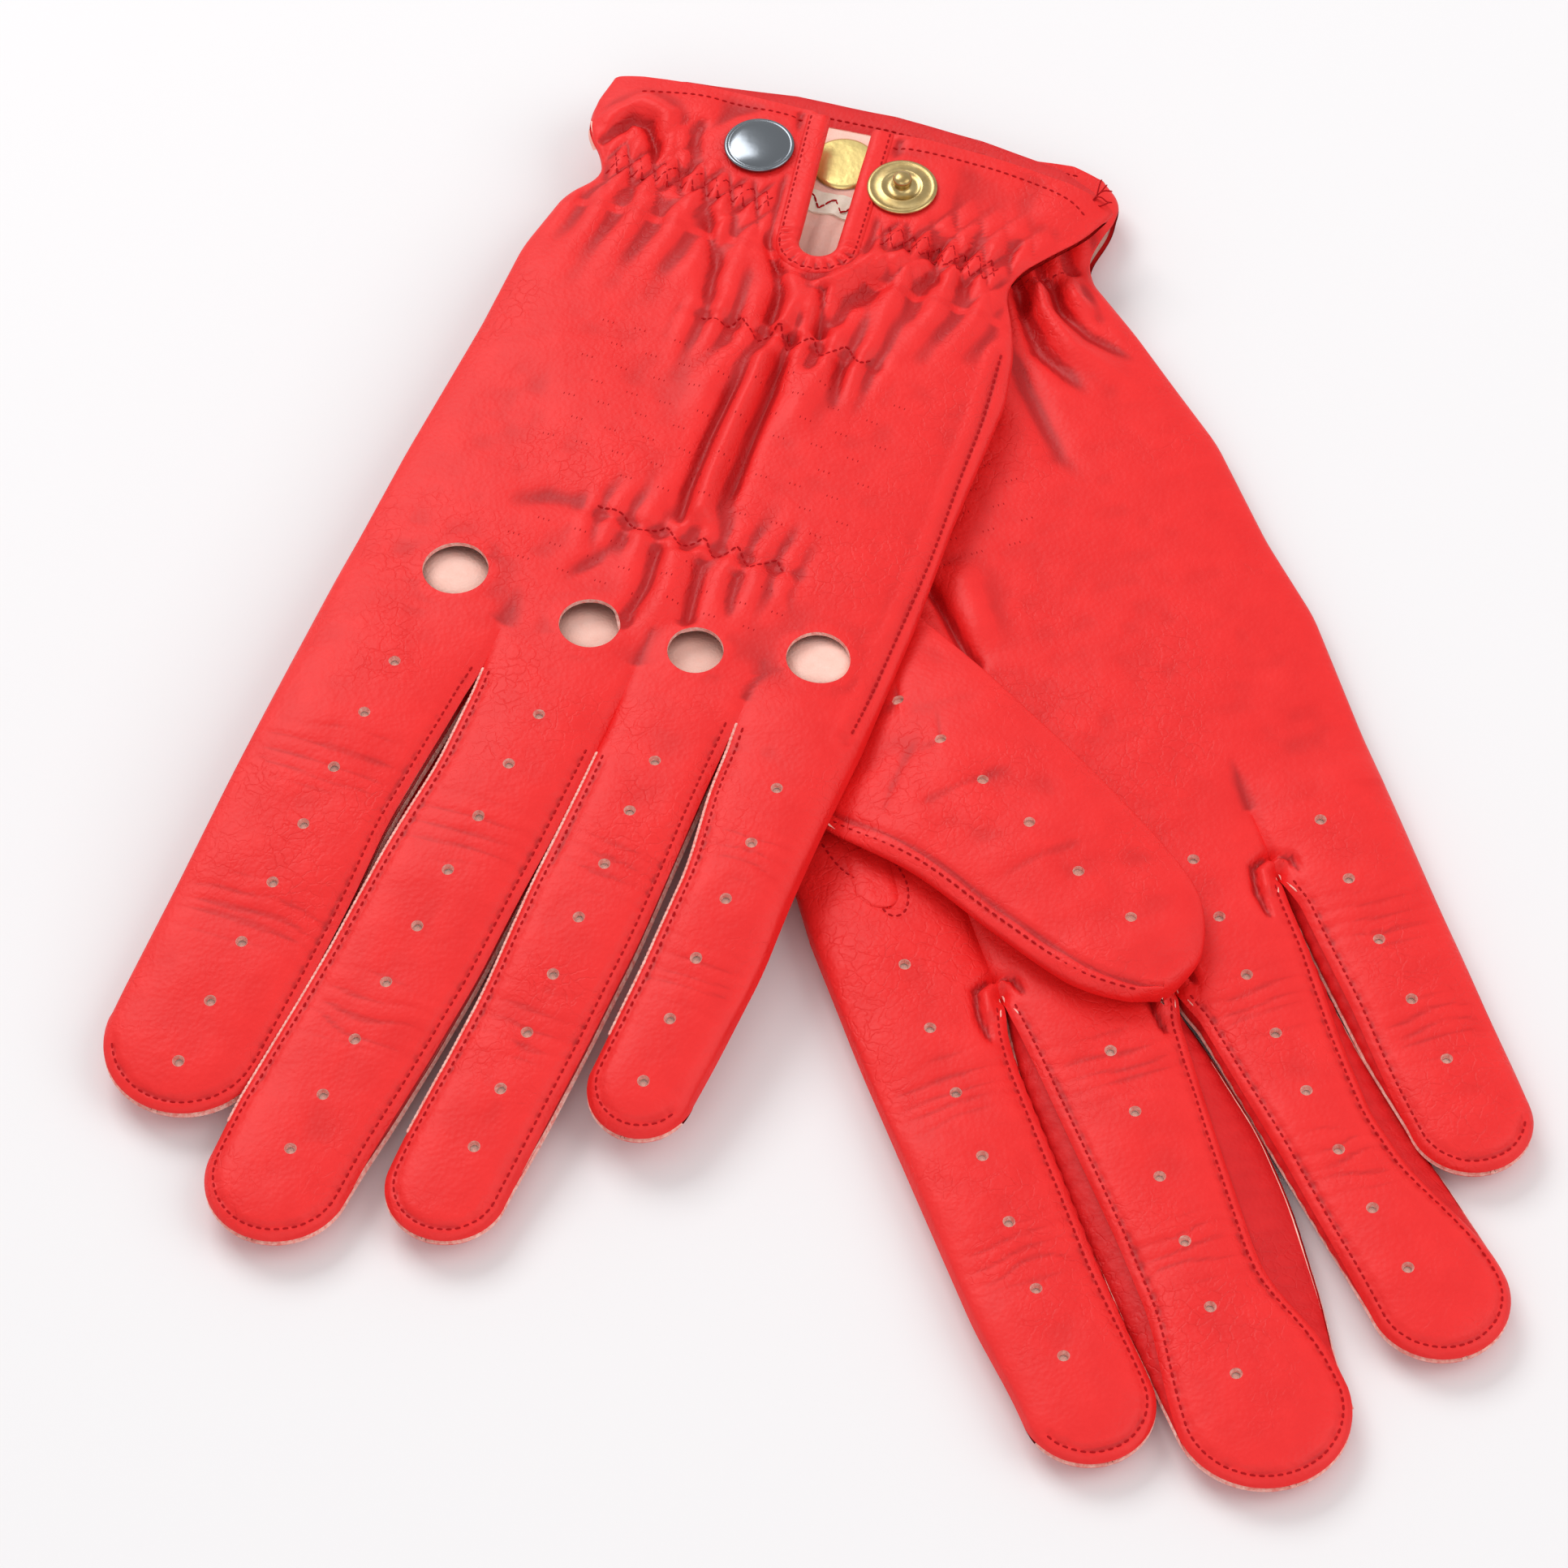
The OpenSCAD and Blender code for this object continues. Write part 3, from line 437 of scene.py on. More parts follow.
def finger_z(up, f, back, x, y, relief=True):
    c, w, t, over, a, y1, r = finger_parts(up, f, x, y, back)
    rise = edge_rise(up, f, y)
    seamed = seamed_profile(a, rise)
    if f in (0, 3):
        side = -1 if f == 0 else 1
        folded = (1 - a**SQ) ** (1 / SQ)
        keep = (t * side > 0) * (1 - step(0, 0.55, over))
        seamed = seamed * (1 - keep) + folded * keep
    body = finger_half(up, f, y) * seamed
    if relief:
        s = step(CUT[up], CUT[up] - 9, y)
        ch, wh, m = hand_parts(up, x, y)
        shared = leather_relief(up, back, x, y) * (1 - np.abs(m) ** 12) * (1 - s)
        open_l = 0 if f == 0 else 1
        open_r = 0 if f == 3 else 1
        sl = open_l * step(FORKS[up][f - 1][1] + 1, FORKS[up][f - 1][1] - 5, y) if open_l else 1.0 * (over > 0.3)
        sr = open_r * step(FORKS[up][f][1] + 1, FORKS[up][f][1] - 5, y) if open_r else 1.0 * (over > 0.3)
        own = finger_relief(up, f + (0 if back else 4), x, y, (1 - a) * w, sl, sr, t) if back else 0
        if not back:
            own = finger_relief(up, f, x + 90, y, (1 - a) * w, sl, sr, t)
        if back != up:
            own = np.minimum(own, 0.0)
        body = body + shared + own * s * (1 - a**10)
        if not up and not back:
            for fx, fy in FORKS[up]:
                arch = [(fx - 4.2, fy - 9), (fx - 4.6, fy - 3), (fx - 3.6, fy + 1.6), (fx - 0.4, fy + 3.6), (fx + 2.6, fy + 1.8), (fx + 3.4, fy - 2.6)]
                body = body + fold(x, y, arch, -1.0, 0.6, 1.8, 0.15, 0.2)
                arch = [(a + (1.5 if a < fx else -1.5), b - 1.5) for a, b in arch[1:-1]]
                body = body + fold(x, y, arch, 0.7, 0.9, 2, 0.15, 0.2)
                q = np.hypot(x - fx, y - fy)
                body = body - 1.1 * np.exp(-((q / 1.3) ** 2)) * s
    return THICK(y) / 2 + drop(up, y) + (body if back else -body)


def lay(up, x, y, z):
    return world(up, x, y, z if up else HAND_T - z)


# ------------------------------------------------------------------ mesh pieces
class Piece:
    """One mesh built of sheets of leather: an outer face, an inner face and the cut edges between them."""

    def __init__(self):
        self.v, self.f, self.m, self.n, self.tone, self.count = [], [], [], [], [], 0

    def behind(self, c, out, mat):
        """The pale suede of the far side, pressed up behind a perforation."""
        out = np.array(out, float)
        v = np.asarray(c, float) - out * 0.00105 + 0.0016 * np.array([(-1, -1, 0), (1, -1, 0), (1, 1, 0), (-1, 1, 0)])
        self.quads(v, [(0, 1, 2, 3) if out[2] > 0 else (3, 2, 1, 0)], [out] * 4, mat)

    def quads(self, v, f, n, mat, tone=0.0):
        self.v.append(np.asarray(v, float).reshape(-1, 3))
        self.n.append(np.asarray(n, float).reshape(-1, 3))
        self.f.append(np.asarray(f, np.int64).reshape(-1, 4) + self.count)
        self.m.append(np.broadcast_to(np.asarray(mat, np.int32), (len(self.f[-1]),)))
        self.tone.append(np.broadcast_to(np.asarray(tone, np.float32).reshape(-1), (len(self.v[-1]),)))
        self.count += len(self.v[-1])

    def sheet(self, P, out, keep=None, thick=0.0008, mats=(0, 1, 2), joined="", ghost=(0, 0, 0, 0), folds="", skip=None, edge_mats={}, lip=0.0):
        """P is rows x columns x 3. joined names the sides (n, s, w, e) that carry on in another sheet. ghost rows and columns only
        shape the normals. folds names sides where the sheet turns over, so that its normal there lies level."""
        dc = np.gradient(P, axis=1)
        dr = np.gradient(P, axis=0)
        N = np.cross(dc, dr)
        L = np.linalg.norm(N, axis=-1, keepdims=True)
        N = N / np.maximum(L, 1e-12)
        g = ghost
        R, C = P.shape[:2]
        P, N = P[g[0] : R - g[1], g[2] : C - g[3]], N[g[0] : R - g[1], g[2] : C - g[3]]
        R, C = P.shape[:2]
        if callable(out):
            flip = out(N)
        else:
            flip = float((N * np.asarray(out, float)).sum(-1).mean()) < 0
        if flip:
            N = -N
        if "w" in folds:
            N[:, 0, 2] *= 0.02
        if "e" in folds:
            N[:, -1, 2] *= 0.02
        N = N / np.maximum(np.linalg.norm(N, axis=-1, keepdims=True), 1e-12)
        K = np.ones((R - 1, C - 1), bool) if keep is None else keep
        idx = np.arange(R * C).reshape(R, C)
        q = np.stack([idx[:-1, :-1], idx[:-1, 1:], idx[1:, 1:], idx[1:, :-1]], -1)[K]
        if flip:
            q = q[:, ::-1]
        inner = P - N * thick
        soft = P
        for _ in range(14):
            pad = np.pad(soft, ((1, 1), (1, 1), (0, 0)), mode="edge")
            soft = (pad[:-2, 1:-1] + pad[2:, 1:-1] + pad[1:-1, :-2] + pad[1:-1, 2:]) / 4
        # painted shade and highlight: how far each point lies below its smoothed surroundings (a hollow, painted
        # darker) or above them (a ridge, painted lighter), kept per vertex as a colour tone
        hollow = np.clip(((soft - P) * N).sum(-1) * 1000 / 0.16, -1, 1)
        hollow[:2] = hollow[-2:] = 0
        hollow[:, :2] = hollow[:, -2:] = 0
        self.quads(P, q, N, mats[0], hollow)
        self.quads(inner, q[:, ::-1], -N, mats[1])
        # cut edges
        def rim(a, b, ca, mat):
            """a, b index arrays into the flat grid, ca the middle of the cell they bound."""
            if not len(a):
                return
            Pf, If = P.reshape(-1, 3), inner.reshape(-1, 3)
            v = np.stack([Pf[a], Pf[b], If[b], If[a]], 1)
            n = np.cross(Pf[b] - Pf[a], If[a] - Pf[a])
            n = n / np.maximum(np.linalg.norm(n, axis=-1, keepdims=True), 1e-12)
            away = Pf[a] - ca
            bad = (n * away).sum(-1) < 0
            n[bad] *= -1
            v[:, 2:] += n[:, None] * lip
            f = np.arange(len(a) * 4).reshape(-1, 4)
            # winding follows the normal
            g1 = np.cross(v[:, 1] - v[:, 0], v[:, 3] - v[:, 0])
            wrong = (g1 * n).sum(-1) < 0
            f[wrong] = f[wrong][:, ::-1]
            self.quads(v.reshape(-1, 3), f, np.repeat(n, 4, 0), mat)

        mid = (P[:-1, :-1] + P[1:, 1:]) / 2
        pad = np.zeros((R + 1, C + 1), bool)
        pad[1:-1, 1:-1] = K
        # horizontal edges: row i, between columns j and j+1
        above, below = pad[0:R, 1:C], pad[1 : R + 1, 1:C]
        hor = above != below
        if "n" in joined:
            hor[0] = False
        if "s" in joined:
            hor[-1] = False
        if skip is not None:
            hor &= ~skip[:, :-1]
        for i_sel, j_sel, mat in ((hor, None, None),):
            i, j = np.nonzero(hor)
            ci = np.where(above[i, j], i - 1, i)
            m = np.full(len(i), mats[2])
            if "n" in edge_mats:
                m[i == 0] = edge_mats["n"]
            rim(idx[i, j], idx[i, j + 1], mid[np.clip(ci, 0, R - 2), j], m)
        left, right = pad[1:R, 0:C], pad[1:R, 1 : C + 1]
        ver = left != right
        if "w" in joined:
            ver[:, 0] = False
        if "e" in joined:
            ver[:, -1] = False
        if skip is not None:
            ver &= ~skip[:-1, :]
        i, j = np.nonzero(ver)
        cj = np.where(left[i, j], j - 1, j)
        m = np.full(len(i), mats[2])
        rim(idx[i, j], idx[i + 1, j], mid[i, np.clip(cj, 0, C - 2)], m)
        return P, N

    def build(self, name, mats):
        V, F = np.concatenate(self.v), np.concatenate(self.f)
        M, N = np.concatenate(self.m), np.concatenate(self.n)
        me = bpy.data.meshes.new(name)
        me.vertices.add(len(V))
        me.vertices.foreach_set("co", V.astype(np.float32).ravel())
        me.loops.add(F.size)
        me.loops.foreach_set("vertex_index", F.astype(np.int32).ravel())
        me.polygons.add(len(F))
        me.polygons.foreach_set("loop_start", np.arange(0, F.size, 4, dtype=np.int32))
        for m in mats:
            me.materials.append(m)
        me.polygons.foreach_set("material_index", M.astype(np.int32))
        me.polygons.foreach_set("use_smooth", np.ones(len(F), bool))
        me.update(calc_edges=True)
        # per-vertex tone that drives the painted shade in hollows and painted highlight on ridges
        tone = me.attributes.new("tone", "FLOAT", "POINT")
        tone.data.foreach_set("value", np.concatenate(self.tone).astype(np.float32))
        me.validate()
        me.normals_split_custom_set_from_vertices(N.astype(np.float32))
        obj = bpy.data.objects.new(name, me)
        bpy.context.scene.collection.objects.link(obj)
        return obj


def warp(X, Y, holes):
    """Draws the grid lines round each hole into rings, so that it is a true circle; returns the cells to keep."""
    R, C = X.shape
    cut = np.zeros((R - 1, C - 1), bool)
    for cx, cy, r, k in holes:
        d = np.hypot(X - cx, Y - cy)
        i, j = np.unravel_index(np.argmin(d), d.shape)
        if d[i, j] > 1.5 or i - k < 1 or i + k > R - 2 or j - k < 1 or j + k > C - 2:
            continue
        fade = max(3, k)
        e = k + fade
        I, J = np.meshgrid(np.arange(max(i - e, 0), min(i + e, R - 1) + 1), np.arange(max(j - e, 0), min(j + e, C - 1) + 1), indexing="ij")
        a, b = (I - i).astype(float), (J - j).astype(float)
        q = np.maximum(np.abs(a), np.abs(b))
        with np.errstate(divide="ignore", invalid="ignore"):
            th = np.where(np.abs(b) >= np.abs(a), math.pi / 4 * a / b + np.where(b > 0, 0, math.pi), math.pi / 2 - math.pi / 4 * b / a + np.where(a > 0, 0, math.pi))
        th = np.nan_to_num(th)
        sp = 0.5 * (abs(X[i, min(j + 1, C - 1)] - X[i, max(j - 1, 0)]) / 2 + abs(Y[min(i + 1, R - 1), j] - Y[max(i - 1, 0), j]) / 2)
        rho = np.where(q <= k, r * q / k, r + (q - k) * sp)
        wgt = 1 - step(0, 1, (q - k) / (fade + 1.0))
        wgt = wgt * np.minimum(np.minimum(I, R - 1 - I) / 2.0, 1) * np.minimum(np.minimum(J, C - 1 - J) / 2.0, 1)
        X[I, J] = X[I, J] * (1 - wgt) + (cx + rho * np.cos(th)) * wgt
        Y[I, J] = Y[I, J] * (1 - wgt) + (cy - rho * np.sin(th)) * wgt
        cut[i - k : i + k, j - k : j + k] = True
    return ~cut


def curve(pts, n):
    """A smooth curve through the points, n + 1 of them, evenly spaced."""
    p = np.array([pts[0]] + list(pts) + [pts[-1]], float)
    out = []
    for i in range(1, len(p) - 2):
        t = np.linspace(0, 1, 24, endpoint=False)[:, None]
        a, b, c, d = p[i - 1], p[i], p[i + 1], p[i + 2]
        out.append(0.5 * (2 * b + (c - a) * t + (2 * a - 5 * b + 4 * c - d) * t**2 + (3 * b - a - 3 * c + d) * t**3))
    q = np.concatenate(out + [p[-2:-1]])
    s = np.concatenate([[0], np.cumsum(np.linalg.norm(np.diff(q, axis=0), axis=1))])
    e = np.linspace(0, s[-1], n + 1)
    return np.stack([np.interp(e, s, q[:, k]) for k in range(q.shape[1])], -1)


def threads(piece, P, up_dir, mat, pitch=1.3, length=0.95, radius=0.17, lift=0.05):
    """A row of stitches along the points P, in millimetres of the row frame; up_dir is the way out of the leather."""
    P = np.asarray(P, float)
    s = np.concatenate([[0], np.cumsum(np.linalg.norm(np.diff(P, axis=0), axis=1))])
    n = max(1, int(s[-1] / pitch))
    sides, rings = 6, [(-0.5, 0.35), (-0.36, 0.95), (0.0, 1.0), (0.36, 0.95), (0.5, 0.35)]
    at = (np.arange(n) + 0.5) * s[-1] / n
    ends = [np.stack([np.interp(at + o, s, P[:, k]) for k in range(3)], -1) for o in (-length / 2, length / 2)]
    d = ends[1] - ends[0]
    d = d / np.maximum(np.linalg.norm(d, axis=-1, keepdims=True), 1e-9)
    upv = np.asarray(up_dir, float)
    upv = np.broadcast_to(upv, (len(P), 3)) if upv.ndim == 1 else upv
    upv = np.stack([np.interp(at, s, upv[:, k]) for k in range(3)], -1)
    side = np.cross(d, upv)
    side = side / np.maximum(np.linalg.norm(side, axis=-1, keepdims=True), 1e-9)
    upv = np.cross(side, d)
    mid = (ends[0] + ends[1]) / 2
    vs, ns = [], []
    for o, rr in rings:
        sag = -0.9 * radius * (2 * abs(o)) ** 2
        c = mid + d * (o * length) + upv * (lift + sag)
        for a in range(sides):
            th = 2 * math.pi * a / sides
            nrm = side * math.cos(th) + upv * math.sin(th)
            vs.append(c + nrm * radius * rr)
            ns.append(nrm + d * (0.8 * np.sign(o) if abs(o) > 0.4 else 0))
    vs, ns = np.stack(vs, 1), np.stack(ns, 1)
    f = []
    for k in range(len(rings) - 1):
        for a in range(sides):
            b = (a + 1) % sides
            f.append([k * sides + a, k * sides + b, (k + 1) * sides + b, (k + 1) * sides + a])
    f = np.array(f)
    F = (f[None] + (np.arange(n) * len(rings) * sides)[:, None, None]).reshape(-1, 4)
    # outward winding
    v0 = vs[0]
    g = np.cross(v0[f[0][1]] - v0[f[0][0]], v0[f[0][3]] - v0[f[0][0]])
    if (g * ns[0][f[0][0]]).sum() < 0:
        F = F[:, ::-1]
    ns = ns / np.linalg.norm(ns, axis=-1, keepdims=True)
    piece.quads(vs.reshape(-1, 3) * 0.001, F, ns.reshape(-1, 3), mat)


def lathe(piece, centre, rings, n, mat, bottom=False):
    """A turned part standing on the leather: rings are (radius, height) from the middle of its top down and out. Row millimetres."""
    c = np.asarray(centre, float)
    th = np.linspace(0, 2 * math.pi, n + 1)
    P = np.stack([np.stack([c[0] + r * np.cos(th), c[1] + r * np.sin(th), np.full(n + 1, c[2] + z)], -1) for r, z in rings])
    dc, dr = np.gradient(P, axis=1), np.gradient(P, axis=0)
    dc[:, 0] = dc[:, -1] = (P[:, 1] - P[:, -2]) / 2
    N = np.cross(dc, dr)
    N[0] = [0, 0, np.sign(rings[0][1] - rings[-1][1]) or 1]
    N = N / np.maximum(np.linalg.norm(N, axis=-1, keepdims=True), 1e-12)
    outw = np.stack([np.cos(th), np.sin(th), 0 * th], -1)
    if (N[-1] * outw).sum() < 0:
        N[1:] = -N[1:]
    R, C = P.shape[:2]
    idx = np.arange(R * C).reshape(R, C)
    q = np.stack([idx[:-1, :-1], idx[:-1, 1:], idx[1:, 1:], idx[1:, :-1]], -1).reshape(-1, 4)
    a = P.reshape(-1, 3)
    k = len(q) - n // 2
    g = np.cross(a[q[k][1]] - a[q[k][0]], a[q[k][3]] - a[q[k][0]])
    if (g * N.reshape(-1, 3)[q[k][0]]).sum() < 0:
        q = q[:, ::-1]
    piece.quads(P.reshape(-1, 3) * 0.001, q, N.reshape(-1, 3), mat)


# ------------------------------------------------------------------ materials
def lin(*c):
    return tuple((v / 255 / 12.92 if v / 255 <= 0.04045 else ((v / 255 + 0.055) / 1.055) ** 2.4) for v in c) + (1.0,)


def cracks(nd, lk, tc, size):
    """Fine crossing creases in patches: 1 on smooth leather, 0 in the bottom of a crease."""
    bend = nd.new("ShaderNodeTexNoise")
    bend.inputs["Scale"].default_value = 1000.0 / (1.6 * size)
    bend.inputs["Detail"].default_value = 3
    lk.new(tc.outputs["Object"], bend.inputs["Vector"])
    shift = nd.new("ShaderNodeVectorMath")
    shift.operation = "MULTIPLY_ADD"
    shift.inputs[1].default_value = (0.005, 0.005, 0.005)
    lk.new(bend.outputs["Color"], shift.inputs[0])
    lk.new(tc.outputs["Object"], shift.inputs[2])
    cell = nd.new("ShaderNodeTexVoronoi")
    cell.feature = "DISTANCE_TO_EDGE"
    cell.inputs["Scale"].default_value = 1000.0 / size
    lk.new(shift.outputs["Vector"], cell.inputs["Vector"])
    line = nd.new("ShaderNodeMapRange")
    line.inputs["From Max"].default_value = 0.1
    lk.new(cell.outputs["Distance"], line.inputs["Value"])
    patch = nd.new("ShaderNodeTexNoise")
    patch.inputs["Scale"].default_value = 1000.0 / 17.0
    patch.inputs["Detail"].default_value = 2
    lk.new(tc.outputs["Object"], patch.inputs["Vector"])
    bare = nd.new("ShaderNodeMapRange")
    bare.inputs["From Min"].default_value = 0.62
    bare.inputs["From Max"].default_value = 0.46
    lk.new(patch.outputs["Fac"], bare.inputs["Value"])
    top = nd.new("ShaderNodeMath")
    top.operation = "MAXIMUM"
    lk.new(line.outputs["Result"], top.inputs[0])
    lk.new(bare.outputs["Result"], top.inputs[1])
    return top.outputs[0]


def material(name, base, rough, bump=None, tint=None, metal=0.0, sheen=0.0, spec=0.5, coat=0.0, crease_shade_highlight=None):
    m = bpy.data.materials.new(name)
    m.use_nodes = True
    nt = m.node_tree
    nd, lk = nt.nodes, nt.links
    b = nd["Principled BSDF"]
    b.inputs["Roughness"].default_value = rough
    b.inputs["Metallic"].default_value = metal
    b.inputs["Specular IOR Level"].default_value = spec
    b.inputs["Sheen Weight"].default_value = sheen
    b.inputs["Coat Weight"].default_value = coat
    b.inputs["Base Color"].default_value = base
    geo = nd.new("ShaderNodeNewGeometry")
    tc = nd.new("ShaderNodeTexCoord")
    if tint:
        other, size, share = tint
        n = nd.new("ShaderNodeTexNoise")
        n.inputs["Scale"].default_value = 1000.0 / size
        n.inputs["Detail"].default_value = 4
        n.inputs["Roughness"].default_value = 0.6
        lk.new(tc.outputs["Object"], n.inputs["Vector"])
        r = nd.new("ShaderNodeValToRGB")
        r.color_ramp.elements[0].position, r.color_ramp.elements[1].position = 0.5 - share, 0.5 + share
        r.color_ramp.elements[0].color, r.color_ramp.elements[1].color = other, base
        lk.new(n.outputs["Fac"], r.inputs["Fac"])
        colour = r.outputs["Color"]
        if crease_shade_highlight:
            # painted shade in the hollows and painted highlight on the ridges, mixed in from the per-vertex tone
            at = nd.new("ShaderNodeAttribute")
            at.attribute_name = "tone"
            for sign, shade, share in ((1, crease_shade_highlight[0], crease_shade_highlight[2]), (-1, crease_shade_highlight[1], crease_shade_highlight[3])):
                k = nd.new("ShaderNodeMath")
                k.operation = "MULTIPLY"
                k.use_clamp = True
                k.inputs[1].default_value = sign * share
                lk.new(at.outputs["Fac"], k.inputs[0])
                mix = nd.new("ShaderNodeMix")
                mix.data_type = "RGBA"
                mix.inputs["B"].default_value = shade
                lk.new(k.outputs[0], mix.inputs["Factor"])
                lk.new(colour, mix.inputs["A"])
                colour = mix.outputs["Result"]
        lk.new(colour, b.inputs["Base Color"])
    last = None
    for kind, size, dist in bump or []:
        if kind == "cells":
            n = nd.new("ShaderNodeTexVoronoi")
            n.feature = "SMOOTH_F1"
            n.inputs["Scale"].default_value = 1000.0 / size
            n.inputs["Smoothness"].default_value = 0.5
            out = n.outputs["Distance"]
        elif kind == "cracks":
            out = cracks(nd, lk, tc, size)
            n = None
        else:
            n = nd.new("ShaderNodeTexNoise")
            n.inputs["Scale"].default_value = 1000.0 / size
            n.inputs["Detail"].default_value = 3
            out = n.outputs["Fac"]
        if n:
            lk.new(tc.outputs["Object"], n.inputs["Vector"])
        u = nd.new("ShaderNodeBump")
        u.inputs["Distance"].default_value = dist * 0.001
        u.inputs["Strength"].default_value = 1.0
        lk.new(out, u.inputs["Height"])
        if last:
            lk.new(last.outputs["Normal"], u.inputs["Normal"])
        last = u
    if last:
        lk.new(last.outputs["Normal"], b.inputs["Normal"])
    return m


GRAIN = [("cells", 0.75, 0.05), ("noise", 0.4, 0.025), ("noise", 3.0, 0.12), ("cracks", 2.3, 0.05)]
# painted shade and painted highlight on the leather: a darker red in the hollows of folds and creases, a lighter red on
# their ridges, and how much of each is mixed in
CREASE_SHADE_HIGHLIGHT = (lin(158, 6, 12), lin(250, 50, 48), 0.7, 0.25)
LEATHER = material("red_leather", lin(236, 33, 32), 0.5, GRAIN, (lin(227, 26, 26), 6.0, 0.2), spec=0.36, crease_shade_highlight=CREASE_SHADE_HIGHLIGHT)
# a darker copy of the red leather, used as painted shade on the strips set in between the fingers and on the hem inside
# the palm's rim, which lie in shadow
SHADED_LEATHER = material("red_leather_set_in", lin(214, 24, 27), 0.52, GRAIN, (lin(204, 18, 22), 5.0, 0.2), spec=0.34, crease_shade_highlight=CREASE_SHADE_HIGHLIGHT)
SUEDE = material("suede_inside", lin(254, 212, 198), 0.95, [("noise", 0.5, 0.12)], (lin(252, 198, 182), 2.0, 0.25), sheen=0.3, spec=0.2)
RAW = material("raw_edge", lin(250, 206, 194), 0.9, [("noise", 0.3, 0.1)], (lin(236, 140, 130), 0.7, 0.16), spec=0.2)
THREAD = material("red_thread", lin(176, 12, 20), 0.7, [("noise", 0.25, 0.05)], spec=0.15)
ELASTIC = material("cream_elastic", lin(250, 242, 226), 0.8, [("noise", 0.4, 0.1)], (lin(240, 230, 208), 1.2, 0.2), sheen=0.2)
STEEL = material("pearl_steel", lin(126, 131, 137), 0.2, [("noise", 5, 0.05)], metal=1.0)
BRASS = material("old_brass", lin(206, 182, 128), 0.3, [("noise", 3, 0.04)], (lin(180, 152, 98), 2.0, 0.2), metal=1.0)
GOLD = material("gold_foil", lin(240, 214, 140), 0.34, [("noise", 1.2, 0.05)], metal=1.0)
SKINS = [LEATHER, SUEDE, RAW, THREAD, SHADED_LEATHER]
STEP_ = 0.56

# ------------------------------------------------------------------ the hand
SPLIT = -10.4


def back_rim(x):
    return np.interp(x, [-42, -40, -36, -24, -7, -4, 4.4, 5, 14, 30, 37, 44, 46], [17.6, 18.4, 19.2, 20.4, 21.0, 20.2, 20.2, 20.4, 21.6, 22.2, 21.9, 20.6, 19.6])


def palm_rim(x):
    return np.interp(x, [-42, -40, -36, -30, -12, 5, 20, 34, 41, 44, 46], [17.6, 18.4, 20.8, 23.4, 27.4, 29, 29, 27.2, 24.0, 20.8, 19.6])


def cut_columns(up, back):
    """x of every column at the cut, and the same as a share of the half width."""
    xs = [np.array([])]
    for f in range(4):
        a, b = float(edge_x(up, f, -1, CUT[up], back)), float(edge_x(up, f, 1, CUT[up], back))
        t = finger_columns(up, f)
        x = (a + b) / 2 + (b - a) / 2 * t
        xs.append(x if f == 0 else x[1:])
    x = np.concatenate(xs)
    _, _, m = hand_parts(up, x, np.full(x.shape, CUT[up]))
    return x, m


def finger_columns(up, f):
    a, b = float(XL[up][f](CUT[up])), float(XR[up][f](CUT[up]))
    n = int(round((b - a) / STEP_))
    u = np.linspace(0, 1, n + 1)
    ease_l = 1 - (1 - u) ** 1.0
    if f == 0:
        u = 0.35 * u + 0.65 * u**1.7
    if f == 3:
        u = 1 - (0.35 * (1 - u) + 0.65 * (1 - u) ** 1.7)
    return 2 * u - 1


def ghost_below(up, back, x):
    """The row of finger vertices just below the cut."""
    y = CUT[up] - STEP_
    z = np.zeros_like(x)
    xs = np.zeros_like(x)
    k = 0
    for f in range(4):
        t = finger_columns(up, f)
        a, b = float(edge_x(up, f, -1, y, back)), float(edge_x(up, f, 1, y, back))
        xx = (a + b) / 2 + (b - a) / 2 * t
        zz = finger_z(up, f, back, xx, np.full(xx.shape, y))
        n = len(t)
        xs[k : k + n], z[k : k + n] = xx, zz
        k += n - 1
    return xs, np.full(x.shape, y), z


def hand_grid(up, back, m, rows, x_of=None):
    y = np.repeat(np.asarray(rows, float)[:, None], len(m), 1)
    c = (HL[up](y) + HR[up](y)) / 2
    w = (HR[up](y) - HL[up](y)) / 2
    return c + w * m[None, :], y


def stretch_rim(X, Y, rim, base=-4.0, top=20.0):
    """Moves the rows of the cuff so that the top one follows the rim."""
    far = np.clip((Y - base) / (top - base), 0, None)
    return Y + (rim(X) - top) * far**1.4


def snap_flat(up, X, Y, Z, x0, y0=10.0, z0=6.15):
    q = np.hypot(X - x0, Y - y0)
    k = 1 - step(6.0, 9.5, q)
    return Z * (1 - k) + z0 * k


def back_extra(up, X, Y, Z):
    """Flat seats for the snaps."""
    Z = snap_flat(up, X, Y, Z, -12.0)
    Z = snap_flat(up, X, Y, Z, 12.8)
    return Z


HINGES = {"cap": ((-17.0, 3.2), (0.458, 0.889)), "stud": ((22.4, 2.1), (-0.473, 0.881))}


def flap_ends(up, which):
    (x, y), (nx, ny) = HINGES[which]
    s0, s1 = (3.0, 12.0) if which == "cap" else (3.5, 12.5)
    a = lay(up, x + nx * s0 * 0.3, y + ny * s0 * 0.3, 6.0)
    b = lay(up, x + nx * s1, y + ny * s1, 6.0)
    return Vector(a), Vector(b)


PREFIX = {UP: "left_glove", LO: "right_glove"}
BODY = {UP: "upper", LO: "lower"}
NODE = {UP: "u", LO: "l"}
DIRS = {UP: 1.0, LO: -1.0}


def out_dir(up, back):
    return (0, 0, (1 if back else -1) * (1 if up else -1))


def surface_points(up, back, pts, n, lift=0.0, f=None):
    """A curve on the leather through glove points (x, y), in millimetres of the row frame."""
    q = curve(pts, n)
    z = hand_z(up, back, q[:, 0], q[:, 1]) if f is None else finger_z(up, f, back, q[:, 0], q[:, 1])
    if f is None and back:
        z = back_extra(up, q[:, 0], q[:, 1], z)
    z = z + (lift if back else -lift)
    return lay(up, q[:, 0], q[:, 1], z) * 1000


